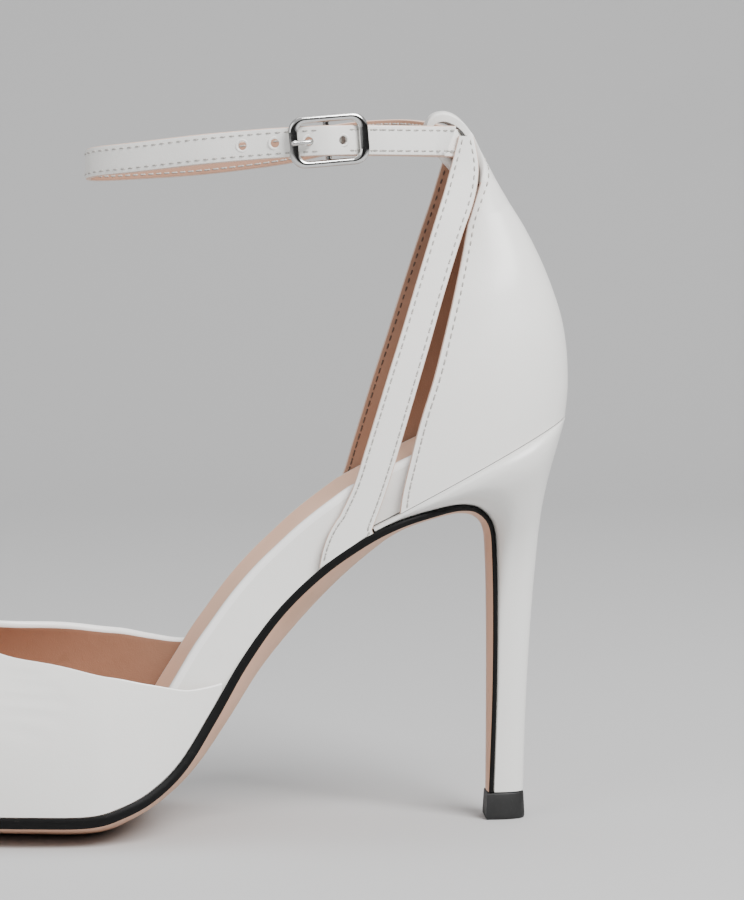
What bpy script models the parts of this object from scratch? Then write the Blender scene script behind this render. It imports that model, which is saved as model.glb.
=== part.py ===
"""An ankle strap pump for the left foot: a pointed closed toe, an open waist, a closed counter and a slim heel.

Frame: +X runs towards the toe, +Y is the outer side of the foot, +Z is up. The origin is the centre of the heel's
floor face, and the heel and the tread stand on Z = 0. Lengths are in metres.

The tables hold shares of the named sizes, one row for each section of the last, the sole, the heel and the straps.
"""

import math
from typing import NamedTuple

import bmesh
import bpy
import numpy as np
from mathutils import Matrix, Vector

# The last
LENGTH = 0.225  # from the heel tip's centre forward to the toe
BALL_WIDTH = 0.074  # across the sole at the ball
SEAT_WIDTH = 0.049  # across the counter at its front edges
SEAT_REACH = 0.0156  # from the heel tip's centre back to the counter's lower back corner
HEEL_HEIGHT = 0.106  # from the floor up to the counter's lower back corner
INSTEP = 0.044  # height of the vamp over the sole's edge at the throat
COUNTER_HEIGHT = 0.0785  # from the counter's lower back corner up to the top of its loop

# The sole and the heel
SOLE_EDGE = 0.0027  # thickness of the outsole's edge at the ball
CROWN = 0.0062  # how far the underside swells below its edges at the waist
TREAD_SINK = 0.0003  # what standing on the floor presses flat
INSOLE = 0.0113  # thickness of the wrapped insole at the waist
INSOLE_MARGIN = 0.0005  # how far the bare insole stands back from the sole's edge
STRAP_TUCK = 0.0025  # how much further it stands back where a side strap lies against it
TOP_PIECE = 0.0070  # height of the heel's rubber top piece
TOP_PIECE_LIP = 0.0001  # how far it stands out past the heel
TOP_PIECE_ROUND = 0.0003  # how much further it stands out just over its floor face
TOP_PIECE_ROUND_LOW = 0.0005  # where that starts, over the floor
TOP_PIECE_ROUND_HIGH = 0.0015

# The upper
WALL = 0.0016  # thickness of the lined upper
LOOP_WIDTH = 0.0115  # across the tongue that holds the ankle strap
SIDE_STRAP_WIDTH = 0.0084
SIDE_STRAP_THICKNESS = 0.0014
CLEAR = 0.0003  # between pieces that meet

# The ankle strap and its buckle
ANKLE_STRAP_WIDTH = 0.0076
ANKLE_STRAP_THICKNESS = 0.0014
STRAP_REACH = 0.1080  # from the heel tip's centre forward to the front of the ankle strap
STRAP_SPAN = 0.0480  # across the ankle strap
HOLE_DIAMETER = 0.0022
HOLE_PITCH = 0.0080
HOLES = 4
BUCKLE_LENGTH = 0.0205
BUCKLE_HEIGHT = 0.0130
BUCKLE_END = 0.0025  # width of the frame's two ends
BUCKLE_RAIL = 0.0018  # width of its long sides
BUCKLE_DEPTH = 0.0018
BUCKLE_CORNER = 0.0040
BUCKLE_TILT = 3.0  # how far the frame has swung on the strap, in degrees
BAR_RADIUS = 0.0008
PRONG_RADIUS = 0.0006
SKIVED = 0.0009  # thickness of the strap's end where it is thinned to turn round the bar
SLIP = 0.00025  # between the bar and what turns round it

SECTION_POWER = 2.0 / 2.3  # the last's cross-section is a rounded arch, a little fuller than an ellipse
SEAT_POWER = 2.0 / 2.4  # the same for the outline of the heel seat
TREAD_FLAT = 0.34  # of half the sole's width: the part of the underside that isn't curved across
NOSE = 0.85  # of LENGTH: ahead of this the toe's wall also stands back from its tip
TIP_SLANT = 0.45  # of the strap's width: how far the billet's tip is cut back at its lower corner
TIP_RINGS = 4  # sections of the billet that share that cut
PRONG_LEAD = 0.0049  # from the bar forward to where the prong comes through the billet
SLOT_LENGTH = 0.0058  # of the slot that lets the prong through the fold, along the strap
SLOT_WIDTH = 0.0021
SLOT_DEPTH = 0.0058
SLOT_SHIFT = 0.0006  # how far the slot's middle lies inside the bar's centre


class Sole(NamedTuple):
    """A station of the outsole, from the toe back to the breast and down it, by the upper line of its edge."""

    ahead: float  # of LENGTH
    rise: float  # of the heel's height over the ball's
    lateral: float  # of BALL_WIDTH, towards +Y
    medial: float  # of BALL_WIDTH, towards +Y, so it is negative
    crown: float  # of CROWN
    edge: float  # of SOLE_EDGE


SOLE = (
    Sole(1.000, 0.008, -0.068, -0.068, 0.00, 0.85),
    Sole(0.994, 0.0075, -0.022, -0.114, 0.11, 0.88),
    Sole(0.975, 0.006, 0.027, -0.165, 0.23, 0.90),
    Sole(0.938, 0.005, 0.100, -0.240, 0.39, 0.92),
    Sole(0.875, 0.003, 0.195, -0.330, 0.54, 0.94),
    Sole(0.790, 0.001, 0.300, -0.415, 0.68, 0.96),
    Sole(0.700, 0.000, 0.395, -0.480, 0.77, 0.98),
    Sole(0.620, 0.000, 0.455, -0.510, 0.85, 1.00),
    Sole(0.545, 0.000, 0.490, -0.505, 0.90, 1.00),
    Sole(0.480, 0.001, 0.495, -0.480, 0.90, 1.00),
    Sole(0.445, 0.020, 0.475, -0.455, 0.76, 0.96),
    Sole(0.412, 0.057, 0.440, -0.420, 0.62, 0.92),
    Sole(0.379, 0.126, 0.395, -0.380, 0.58, 0.90),
    Sole(0.345, 0.245, 0.345, -0.330, 0.66, 0.87),
    Sole(0.310, 0.380, 0.310, -0.290, 0.76, 0.84),
    Sole(0.269, 0.506, 0.292, -0.268, 0.89, 0.77),
    Sole(0.222, 0.612, 0.300, -0.272, 0.80, 0.76),
    Sole(0.174, 0.690, 0.308, -0.280, 0.58, 0.74),
    Sole(0.133, 0.737, 0.303, -0.280, 0.36, 0.70),
    Sole(0.089, 0.764, 0.260, -0.245, 0.27, 0.62),
    Sole(0.056, 0.772, 0.185, -0.180, 0.23, 0.56),
    Sole(0.032, 0.757, 0.125, -0.125, 0.21, 0.50),
    Sole(0.0155, 0.709, 0.089, -0.089, 0.19, 0.45),
    Sole(0.0112, 0.612, 0.076, -0.076, 0.19, 0.45),
    Sole(0.0098, 0.429, 0.068, -0.068, 0.19, 0.45),
    Sole(0.0105, 0.224, 0.061, -0.061, 0.16, 0.45),
    Sole(0.0138, 0.000, 0.058, -0.058, 0.05, 0.45),
)
WING_EDGE = 0.0008  # thickness of the heel's wings at their front
WING_ROW = 17.4  # the heel's wings end here, at the front of the seat's plane
TREAD_CROWN = 0.90  # of CROWN, at the ball


class Crest(NamedTuple):
    """The height of the last over the sole's edge."""

    ahead: float  # of LENGTH
    height: float  # of INSTEP


CREST = (
    Crest(0.30, 1.62),
    Crest(0.40, 1.50),
    Crest(0.49, 1.32),
    Crest(0.578, 1.135),
    Crest(0.658, 1.00),
    Crest(0.70, 0.935),
    Crest(0.79, 0.80),
    Crest(0.875, 0.62),
    Crest(0.938, 0.42),
    Crest(0.975, 0.26),
    Crest(0.994, 0.13),
    Crest(1.00, 0.0),
)


class Rib(NamedTuple):
    """A line up the vamp, from the sole's edge to the topline."""

    foot: float  # of LENGTH, where it leaves the sole
    top: float  # of LENGTH, where it meets the topline
    turn: float  # how far round the last's section the topline lies, in degrees: 0 at the sole, 90 at the crest


LATERAL_RIBS = (
    Rib(0.331, 0.331, 0.8),
    Rib(0.351, 0.351, 5.0),
    Rib(0.374, 0.374, 11.2),
    Rib(0.393, 0.393, 16.5),
    Rib(0.433, 0.433, 25.4),
    Rib(0.480, 0.480, 33.6),
    Rib(0.530, 0.526, 40.4),
    Rib(0.595, 0.567, 46.6),
    Rib(0.670, 0.600, 55.6),
    Rib(0.755, 0.626, 66.2),
    Rib(0.845, 0.644, 76.0),
    Rib(0.925, 0.654, 83.0),
    Rib(0.975, 0.6572, 87.0),
    Rib(0.996, 0.658, 89.0),
)
MEDIAL_RIBS = (
    Rib(0.329, 0.329, 0.8),
    Rib(0.345, 0.345, 8.0),
    Rib(0.368, 0.368, 14.7),
    Rib(0.396, 0.396, 22.3),
    Rib(0.445, 0.445, 33.5),
    Rib(0.493, 0.493, 41.4),
    Rib(0.545, 0.542, 47.9),
    Rib(0.610, 0.586, 55.5),
    Rib(0.685, 0.614, 63.5),
    Rib(0.765, 0.634, 71.0),
    Rib(0.850, 0.647, 77.5),
    Rib(0.925, 0.655, 83.5),
    Rib(0.975, 0.6575, 87.0),
    Rib(0.996, 0.658, 89.0),
)


class Bed(NamedTuple):
    """A station of the insole, from the toe back to the waist."""

    row: float  # of the sole's table
    thick: float  # of INSOLE
    covered: float  # 1 where the upper wraps round its sides, 0 where they are bare


BED = (
    Bed(2.0, 0.20, 1.75),
    Bed(2.6, 0.21, 1.50),
    Bed(4.0, 0.24, 1.08),
    Bed(5.5, 0.25, 1.0),
    Bed(7.0, 0.27, 1.0),
    Bed(8.2, 0.31, 1.0),
    Bed(9.2, 0.40, 1.0),
    Bed(10.0, 0.55, 1.0),
    Bed(10.8, 0.75, 1.0),
    Bed(11.6, 0.92, 1.0),
    Bed(12.4, 1.02, 1.0),
    Bed(13.0, 1.04, 1.0),
    Bed(13.5, 1.03, 1.0),
    Bed(13.8, 1.02, 0.25),
    Bed(14.2, 1.00, 0.0),
    Bed(14.8, 1.00, 0.1),
    Bed(15.4, 1.00, 0.9),
    Bed(15.8, 1.00, 1.25),
    Bed(16.4, 1.04, 1.25),
    Bed(16.9, 1.08, 1.38),
    Bed(WING_ROW - 0.13, 1.12, 1.60),
)


class Seat(NamedTuple):
    """A station of the insole over the heel seat."""

    back: float  # of the way from the seat's front to its back
    thick: float  # of INSOLE


SEAT = (
    Seat(-0.012, 1.03),
    Seat(0.14, 1.02),
    Seat(0.30, 1.0),
    Seat(0.48, 0.96),
    Seat(0.66, 0.90),
    Seat(0.80, 0.86),
    Seat(0.90, 0.82),
    Seat(0.95, 0.78),
    Seat(0.974, 0.70),
)


class Heel(NamedTuple):
    """A section of the heel, from its floor end up to the seat."""

    back: float  # of SEAT_REACH, behind the heel tip's centre
    height: float  # of HEEL_HEIGHT, of the section's back
    row: float  # of the sole's table, of the section's front
    width: float  # half the widest part, of SEAT_WIDTH
    widest: float  # where that is, of the way from back to front


HEEL = (
    Heel(0.330, 0.000, 26.0, 0.088, 0.92),
    Heel(0.355, 0.170, 25.35, 0.091, 0.90),
    Heel(0.390, 0.300, 24.85, 0.098, 0.88),
    Heel(0.435, 0.430, 24.20, 0.108, 0.84),
    Heel(0.485, 0.540, 23.70, 0.124, 0.78),
    Heel(0.535, 0.635, 23.25, 0.155, 0.72),
    Heel(0.580, 0.712, 22.75, 0.205, 0.66),
    Heel(0.645, 0.786, 22.25, 0.270, 0.62),
    Heel(0.745, 0.860, 21.55, 0.345, 0.62),
    Heel(0.860, 0.925, 20.70, 0.415, 0.64),
    Heel(0.945, 0.970, 19.60, 0.460, 0.70),
    Heel(0.988, 0.992, 18.50, 0.485, 0.80),
    Heel(0.996, 0.997, 17.95, 0.488, 0.84),
)


class Counter(NamedTuple):
    """A level of the counter, from the heel seat up into its tongue."""

    height: float  # of COUNTER_HEIGHT, of its back
    back: float  # of SEAT_REACH, behind the heel tip's centre
    front_height: float  # of COUNTER_HEIGHT, of its front edges
    front: float  # of LENGTH, of its front edges
    lateral: float  # of half SEAT_WIDTH
    medial: float  # of half SEAT_WIDTH


COUNTER = (
    Counter(0.000, 1.000, -0.285, 0.1290, 0.980, 0.920),
    Counter(0.055, 1.030, -0.225, 0.1260, 0.985, 0.930),
    Counter(0.117, 1.045, -0.140, 0.1190, 0.980, 0.930),
    Counter(0.220, 1.020, 0.000, 0.1060, 0.945, 0.905),
    Counter(0.320, 0.935, 0.140, 0.0900, 0.880, 0.850),
    Counter(0.418, 0.780, 0.270, 0.0775, 0.790, 0.765),
    Counter(0.517, 0.575, 0.395, 0.0660, 0.680, 0.660),
    Counter(0.617, 0.320, 0.520, 0.0550, 0.500, 0.490),
    Counter(0.700, 0.060, 0.630, 0.0465, 0.365, 0.360),
)


class Fold(NamedTuple):
    """A fold of the counter's tongue, over the ankle strap and down inside."""

    height: float  # of COUNTER_HEIGHT
    ahead: float  # of LENGTH
    cup: float  # how far its edges stand ahead of its middle, of LOOP_WIDTH
    width: float  # of LOOP_WIDTH


FOLDS = (
    Fold(0.765, 0.0095, 0.42, 1.25),
    Fold(0.820, 0.0200, 0.16, 1.05),
    Fold(0.870, 0.0300, 0.05, 1.00),
    Fold(0.920, 0.0400, 0.00, 1.00),
    Fold(0.960, 0.0495, 0.00, 1.00),
    Fold(0.990, 0.0610, 0.00, 1.00),
    Fold(1.000, 0.0740, 0.00, 1.00),
    Fold(0.988, 0.0870, 0.00, 0.98),
    Fold(0.950, 0.0935, 0.00, 0.96),
    Fold(0.890, 0.0870, 0.00, 0.92),
    Fold(0.810, 0.0640, 0.00, 0.88),
    Fold(0.730, 0.0370, 0.00, 0.84),
    Fold(0.665, 0.0110, 0.00, 0.82),
    Fold(0.605, -0.0030, 0.00, 0.80),
)


class Strap(NamedTuple):
    """A station of a side strap, from its foot on the sole up to its end at the ankle strap."""

    up: float  # of the way from foot to end
    bow: float  # ahead of the straight line between them, of SIDE_STRAP_WIDTH
    out: float  # of the distance that the foot stands out from the middle
    width: float  # of SIDE_STRAP_WIDTH


SIDE_STRAP = (
    Strap(0.07, -0.08, 1.000, 1.08),
    Strap(0.15, -0.18, 1.000, 1.00),
    Strap(0.25, -0.195, 0.985, 1.00),
    Strap(0.40, -0.195, 0.920, 0.98),
    Strap(0.52, -0.205, 0.830, 0.95),
    Strap(0.65, -0.205, 0.715, 0.93),
    Strap(0.78, -0.21, 0.590, 0.89),
    Strap(0.87, -0.21, 0.490, 0.80),
    Strap(0.94, -0.13, 0.420, 0.60),
    Strap(1.00, 0.06, 0.365, 0.30),
)
SIDE_STRAP_FOOT = 0.192  # of LENGTH, where the strap's middle meets the sole
SIDE_STRAP_SPREAD = 1.53  # of SIDE_STRAP_WIDTH, along +X, where it meets the sole
LATERAL_END = (0.0490, 0.905, 1.0)  # of LENGTH ahead, of COUNTER_HEIGHT up, of the table's way out
MEDIAL_END = (0.0590, 0.864, 0.90)


class Girth(NamedTuple):
    """A station of the ankle strap's middle line, from the buckle back round the ankle to the billet's tip."""

    ahead: float  # of STRAP_REACH
    out: float  # of half STRAP_SPAN, towards +Y
    height: float  # of COUNTER_HEIGHT
    lean: float  # how far its top edge leans ahead of its bottom edge, in degrees
    layer: float  # how many layers of strap outside the line it lies


GIRTH = (
    Girth(0.400, 0.930, 0.898, 0, 0.0),
    Girth(0.335, 0.870, 0.899, 0, 0.0),
    Girth(0.255, 0.700, 0.899, 2, 0.0),
    Girth(0.190, 0.480, 0.898, 10, 0.0),
    Girth(0.148, 0.285, 0.897, 20, 0.0),
    Girth(0.116, 0.210, 0.896, 28, 0.0),
    Girth(0.103, 0.120, 0.895, 32, 0.0),
    Girth(0.1005, 0.000, 0.895, 33, 0.0),
    Girth(0.1045, -0.140, 0.896, 33, 0.0),
    Girth(0.1120, -0.270, 0.898, 30, 0.0),
    Girth(0.138, -0.365, 0.910, 18, 0.0),
    Girth(0.185, -0.530, 0.927, 8, 0.0),
    Girth(0.260, -0.770, 0.935, 2, 0.0),
    Girth(0.380, -0.940, 0.922, 0, 0.0),
    Girth(0.530, -1.000, 0.880, 0, 0.0),
    Girth(0.720, -0.830, 0.846, 0, 0.0),
    Girth(0.890, -0.480, 0.828, 0, 0.0),
    Girth(0.975, -0.180, 0.822, 0, 0.0),
    Girth(0.998, 0.040, 0.826, 0, 0.0),
    Girth(0.970, 0.270, 0.836, 0, 0.0),
    Girth(0.880, 0.560, 0.848, 0, 0.0),
    Girth(0.735, 0.860, 0.870, 0, 0.0),
    Girth(0.600, 0.985, 0.886, 0, 0.3),
    Girth(0.533, 1.000, 0.892, 0, 1.0),
    Girth(0.485, 0.985, 0.896, 0, 2.1),
    Girth(0.443, 0.965, 0.898, 0, 2.75),
    Girth(0.400, 0.930, 0.900, 0, 2.1),
    Girth(0.358, 0.885, 0.901, 0, 1.0),
    Girth(0.300, 0.810, 0.901, 0, 1.0),
    Girth(0.240, 0.660, 0.901, 0, 1.35),
    Girth(0.185, 0.465, 0.900, 4, 1.9),
    Girth(0.150, 0.345, 0.899, 8, 2.1),
)


BUCKLE_ROW = 25  # of the table, over the buckle's centre bar
BILLET_ROW = 21  # of the table, ahead of the first hole


def between(values, at):
    """Values of evenly numbered rows, read at fractional rows along a smooth curve through them."""
    values = np.asarray(values, float)
    at = np.clip(np.asarray(at, float), 0, len(values) - 1)
    low = np.minimum(at.astype(int), len(values) - 2)
    share = (at - low).reshape(at.shape + (1,) * (values.ndim - 1))
    padded = np.concatenate([[2 * values[0] - values[1]], values, [2 * values[-1] - values[-2]]])
    before, start, end, after = (padded[low + k] for k in range(4))
    bend = 2 * before - 5 * start + 4 * end - after
    turn = 3 * start - before - 3 * end + after
    return start + share * (end - before) / 2 + share**2 * bend / 2 + share**3 * turn / 2


def along(knots, values, at):
    """Values at unevenly spaced knots, read at other places along a smooth curve through them."""
    knots = np.asarray(knots, float)
    values = np.asarray(values, float)
    at = np.clip(np.asarray(at, float), knots[0], knots[-1])
    step = np.diff(knots)
    slope = np.diff(values) / step
    tangent = np.empty_like(values)
    tangent[0], tangent[-1] = slope[0], slope[-1]
    tangent[1:-1] = (slope[:-1] * step[1:] + slope[1:] * step[:-1]) / (step[:-1] + step[1:])
    low = np.clip(np.searchsorted(knots, at) - 1, 0, len(knots) - 2)
    s = (at - knots[low]) / step[low]
    start = (1 + 2 * s) * (1 - s) ** 2 * values[low] + s * (1 - s) ** 2 * step[low] * tangent[low]
    end = s**2 * (3 - 2 * s) * values[low + 1] + s**2 * (s - 1) * step[low] * tangent[low + 1]
    return start + end


EDGE_RISE = TREAD_CROWN * CROWN + SOLE_EDGE - TREAD_SINK  # of the sole's upper edge over the floor, at the ball


def sole_rows():
    """The outsole's table in metres: ahead, height, lateral, medial, crown and edge."""
    rows = np.array(SOLE)
    rise = rows[:, 1] * (HEEL_HEIGHT - EDGE_RISE) + EDGE_RISE
    rise[-1] = TOP_PIECE + CLEAR
    return np.column_stack([
        rows[:, 0] * LENGTH,
        rise,
        rows[:, 2] * BALL_WIDTH,
        rows[:, 3] * BALL_WIDTH,
        rows[:, 4] * CROWN,
        rows[:, 5] * SOLE_EDGE,
    ])


SOLE_ROWS = sole_rows()
FINE_ROWS = np.linspace(0, WING_ROW, 700)
FINE_AHEAD = between(SOLE_ROWS[:, 0], FINE_ROWS)


def row_at(ahead):
    """The row of the sole's table whose station lies this far ahead, from the toe to the waist."""
    return np.interp(-np.asarray(ahead), -FINE_AHEAD, FINE_ROWS)


def sole_frame(row):
    """A station's row in metres, and the directions along the sole and up from it, in the XZ plane."""
    here = between(SOLE_ROWS, row)
    low, high = between(SOLE_ROWS[:, :2], max(row - 0.02, 0)), between(SOLE_ROWS[:, :2], row + 0.02)
    heading = (high - low) / np.linalg.norm(high - low)
    return here, heading, np.array([heading[1], -heading[0]])


def sole_point(row, across, lift, flat=0.0):
    """A point over the sole's edge line: across runs from 1, lateral, to -1, medial; flat levels the crown."""
    here, _, up = sole_frame(row)
    swell = here[4] * (1 - flat) * min(1.0, (1 - across**2) / (1 - TREAD_FLAT**2))
    ahead, height = here[:2] + up * (lift - swell)
    middle, half = (here[2] + here[3]) / 2, (here[2] - here[3]) / 2
    return np.array([ahead, middle + half * across, height])


SEAT_FRONT = sole_point(WING_ROW, 1.0, CLEAR + WING_EDGE)[[0, 2]]  # where the seat's plane meets the sole's edge
SEAT_BACK = np.array([-SEAT_REACH, HEEL_HEIGHT])
COUNTER_FRONT = COUNTER[0].front * LENGTH


def seat_height(ahead):
    """Height of the seat's plane, which falls from the back corner to the front of the heel's wings."""
    share = (ahead - SEAT_BACK[0]) / (SEAT_FRONT[0] - SEAT_BACK[0])
    return SEAT_BACK[1] + share * (SEAT_FRONT[1] - SEAT_BACK[1])


SEAT_LEAN = math.atan2(SEAT_BACK[1] - SEAT_FRONT[1], SEAT_FRONT[0] - SEAT_BACK[0])


def arch(share, power):
    """A rounded arch: how far out it stands at a share of its length from its open end to its crown."""
    rise = np.clip(share, 0.0, 1.0) ** (1 / power)
    return np.sqrt(1 - rise**2) ** power


def seat_half(ahead, side, inset=0.0):
    """Half the width of the counter's foot, on the lateral side (1) or the medial side (-1)."""
    foot = COUNTER[0]
    front_half = (foot.lateral if side > 0 else foot.medial) * SEAT_WIDTH / 2 - inset
    if ahead <= COUNTER_FRONT:
        share = (COUNTER_FRONT - ahead) / (COUNTER_FRONT + SEAT_REACH - inset)
        return front_half * float(arch(share, SEAT_POWER))
    here = between(SOLE_ROWS, WING_ROW)
    wing_half = abs(here[2] if side > 0 else here[3]) - inset
    share = (ahead - COUNTER_FRONT) / (SEAT_FRONT[0] - COUNTER_FRONT)
    return front_half + (wing_half - front_half) * share


def solid(name, rings_of_points, colour, roughness, metallic=0.0):
    """A mesh object from rings of points: each ring is joined to the next, and the ends are capped."""
    mesh = bmesh.new()
    rings = [[mesh.verts.new(point) for point in ring] for ring in rings_of_points]
    for first, second in zip(rings, rings[1:]):
        for here in range(len(first)):
            after = (here + 1) % len(first)
            mesh.faces.new((first[here], first[after], second[after], second[here]))
    mesh.faces.new(list(reversed(rings[0])))
    mesh.faces.new(rings[-1])
    return finish(name, mesh, colour, roughness, metallic)


def wall(name, outer, inner, colour, roughness):
    """A mesh object from the outer and inner faces of a wall, as grids of points, closed along its edges."""
    mesh = bmesh.new()
    faces = [[[mesh.verts.new(point) for point in line] for line in grid] for grid in (outer, inner)]
    lines, points = len(outer), len(outer[0])
    for line in range(lines - 1):
        for at in range(points - 1):
            for grid, turned in ((faces[0], False), (faces[1], True)):
                corners = [grid[line][at], grid[line][at + 1], grid[line + 1][at + 1], grid[line + 1][at]]
                mesh.faces.new(corners[::-1] if turned else corners)
    rim = [(0, at) for at in range(points - 1)]
    rim += [(line, points - 1) for line in range(lines - 1)]
    rim += [(lines - 1, at) for at in range(points - 1, 0, -1)]
    rim += [(line, 0) for line in range(lines - 1, 0, -1)]
    for first, second in zip(rim, rim[1:] + rim[:1]):
        outside, inside = (
            [grid[line][at] for line, at in (first, second)] for grid in faces
        )
        mesh.faces.new((outside[1], outside[0], inside[0], inside[1]))
    return finish(name, mesh, colour, roughness, 0.0)


def finish(name, mesh, colour, roughness, metallic):
    """Turns a bmesh into a named object with its material, its faces pointing out."""
    bmesh.ops.recalc_face_normals(mesh, faces=mesh.faces)
    data = bpy.data.meshes.new(name)
    mesh.to_mesh(data)
    mesh.free()
    data.shade_smooth()
    data.set_sharp_from_angle(angle=math.radians(35))
    material = bpy.data.materials.new(name)
    material.use_nodes = True
    shader = material.node_tree.nodes["Principled BSDF"]
    shader.inputs["Base Color"].default_value = (*colour, 1.0)
    shader.inputs["Roughness"].default_value = roughness
    shader.inputs["Metallic"].default_value = metallic
    data.materials.append(material)
    made = bpy.data.objects.new(name, data)
    bpy.context.collection.objects.link(made)
    return made


WHITE = (0.80, 0.79, 0.765)
TAN = (0.62, 0.40, 0.30)
BLACK = (0.02, 0.02, 0.02)
CHROME = (0.78, 0.78, 0.78)

SOLE_ACROSS = (1.0, 0.90, 0.68, TREAD_FLAT, 0.0, -TREAD_FLAT, -0.68, -0.90, -1.0)


def build_outsole():
    """The outsole: a sheet with a convex underside that turns down the heel's breast to the top piece."""
    stops = [0.2, 0.6, *np.arange(1.0, 17.0, 0.5), *np.arange(17.0, len(SOLE) - 1, 0.4), len(SOLE) - 1]
    rings = []
    for row in stops:
        edge = between(SOLE_ROWS[:, 5], row)
        top = [sole_point(row, across, 0.0) for across in SOLE_ACROSS]
        bottom = [sole_point(row, across, -edge) for across in reversed(SOLE_ACROSS)]
        for point in bottom:
            point[2] = max(point[2], 0.0)
        rings.append(top + bottom)
    return solid("outsole", rings, TAN, 0.5)


def build_insole():
    """The insole: a thick wrapped board that follows the sole, bare at the waist, and then the heel seat."""
    under = (1.0, 0.6, TREAD_FLAT, -TREAD_FLAT, -0.6, -1.0)
    over = (-1.0, -0.94, -0.5, 0.0, 0.5, 0.94, 1.0)
    rounding = (0.10, 0.0, 0.03, 0.05, 0.03, 0.0, 0.10)
    beds = np.array(BED)
    rings = []
    for at in np.arange(0, len(BED) - 0.99, 0.5):
        row, thick, covered = between(beds, at)
        here = sole_frame(row)[0]
        inset = INSOLE_MARGIN + covered * (WALL + 2 * CLEAR - INSOLE_MARGIN)
        half = (here[2] - here[3]) / 2
        narrow = (half - inset) / half
        ring = [sole_point(row, across * narrow, CLEAR) for across in under]
        for across, drop in zip(over, rounding):
            lift = thick * INSOLE * (1 - drop) + CLEAR
            ring.append(sole_point(row, across * narrow, lift, flat=1.0))
        rings.append(ring)
    up = np.array([math.sin(SEAT_LEAN), math.cos(SEAT_LEAN)])
    reach = SEAT_FRONT[0] + SEAT_REACH
    for seat in SEAT:
        ahead = SEAT_FRONT[0] - seat.back * reach
        foot = np.array([ahead, seat_height(ahead)]) + up * CLEAR
        tuck_starts = [COUNTER_FRONT - 6 * WALL, COUNTER_FRONT, SEAT_FRONT[0]]
        tuck = STRAP_TUCK * np.interp(ahead, tuck_starts, [0, 1, 0.75])
        halves = [seat_half(ahead, side, WALL + 2 * CLEAR + tuck) for side in (1, -1)]
        middle, half = (halves[0] - halves[1]) / 2, (halves[0] + halves[1]) / 2
        ring = []
        for across in under:
            ring.append([foot[0], middle + half * across, foot[1]])
        for across, drop in zip(over, rounding):
            lifted = foot + up * seat.thick * INSOLE * (1 - drop)
            ring.append([lifted[0], middle + half * across, lifted[1]])
        rings.append(ring)
    return solid("insole", rings, WHITE, 0.4)


ROUND_STOPS = (0.0, 0.012, 0.05, 0.12, 0.22, 0.35, 0.50, 0.65, 0.78, 0.88, 0.96)  # from back to front


def bulge(share, widest, half, front_half):
    """Half the width of a heel section, at a share of the way from its back to its front."""
    if share <= widest:
        return half * float(arch((widest - share) / widest, SEAT_POWER))
    return front_half + (half - front_half) * math.sqrt(1 - ((share - widest) / (1 - widest)) ** 2)


def heel_ring(back, front_points, halves):
    """One ring: along the front edge from the lateral corner to the medial one, then round the back."""
    ring = [list(point) for point in front_points]
    halves_round = ((-1, front_points[-1], ROUND_STOPS[::-1]), (1, front_points[0], ROUND_STOPS[1:]))
    for side, corner, stops in halves_round:
        for share in stops:
            ahead = back[0] + (corner[0] - back[0]) * share
            height = back[1] + (corner[2] - back[1]) * share
            ring.append([ahead, side * halves(share, side), height])
    return ring


def build_heel():
    """The heel: a slim stem with a flat front that swells out to the whole seat and runs forward as two wings."""
    rings = []
    base = TOP_PIECE + CLEAR
    for at in np.arange(0, len(HEEL) - 0.9, 0.5):
        back_share, up, row, width, widest = between(np.array(HEEL), at)
        front = [sole_point(row, across, CLEAR) for across in SOLE_ACROSS]
        corner = {1: abs(front[0][1]), -1: abs(front[-1][1])}
        half = width * SEAT_WIDTH

        def halves(share, side):
            return bulge(share, widest, max(half, corner[side]), corner[side])

        back = (-back_share * SEAT_REACH, base + up * (HEEL_HEIGHT - base))
        rings.append(heel_ring(back, front, halves))
    for level, flat in ((-WING_EDGE, 0.0), (0.0, 1.0)):
        front = [sole_point(WING_ROW, across, CLEAR + WING_EDGE + level, flat) for across in SOLE_ACROSS]

        def outline(share, side):
            return seat_half(SEAT_BACK[0] + (SEAT_FRONT[0] - SEAT_BACK[0]) * share, side)

        rings.append(heel_ring((SEAT_BACK[0], SEAT_BACK[1] + level), front, outline))
    return solid("heel", rings, WHITE, 0.3)


def build_top_piece():
    """The rubber top piece under the heel, with a flat floor face and a flat front."""
    last = len(SOLE) - 1
    front = sole_point(last, 0.0, -between(SOLE_ROWS[:, 5], last))[0]
    back = HEEL[0].back * SEAT_REACH
    half = SOLE_ROWS[last][2]
    rings = []
    levels = (
        (0.0, 0.0), (TOP_PIECE_ROUND_LOW, TOP_PIECE_ROUND), (TOP_PIECE_ROUND_HIGH, TOP_PIECE_ROUND), (TOP_PIECE, 0.0)
    )
    for height, lip in levels:
        out = TOP_PIECE_LIP + lip
        corners = [np.array([front + out, (half + out) * across, height]) for across in SOLE_ACROSS]

        def halves(share, side):
            return bulge(share, 0.9, half + out, half + out)

        rings.append(heel_ring((-back - out, height), corners, halves))
    return solid("top_piece", rings, BLACK, 0.6)


def last_point(ahead, turn, side, inset):
    """A point on the vamp's outer face (inset 0) or inner face (inset WALL), turn degrees round the section."""
    here = between(SOLE_ROWS, row_at(ahead))
    middle, half = (here[2] + here[3]) / 2, (here[2] - here[3]) / 2
    crest = float(along([c.ahead * LENGTH for c in CREST], [c.height * INSTEP for c in CREST], ahead))
    if inset:
        half -= inset * math.tanh(half / inset)
        crest -= inset * math.tanh(crest / inset)
        ahead -= inset * max(0.0, (ahead / LENGTH - NOSE) / (1 - NOSE))
    angle = math.radians(turn)
    out = math.cos(angle) ** SECTION_POWER if turn < 90 else 0.0
    rise = crest * math.sin(angle) ** SECTION_POWER
    return np.array([ahead, middle + side * half * out, here[1] + CLEAR + rise])


VAMP_RISE = np.linspace(0, 1, 11)


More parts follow.
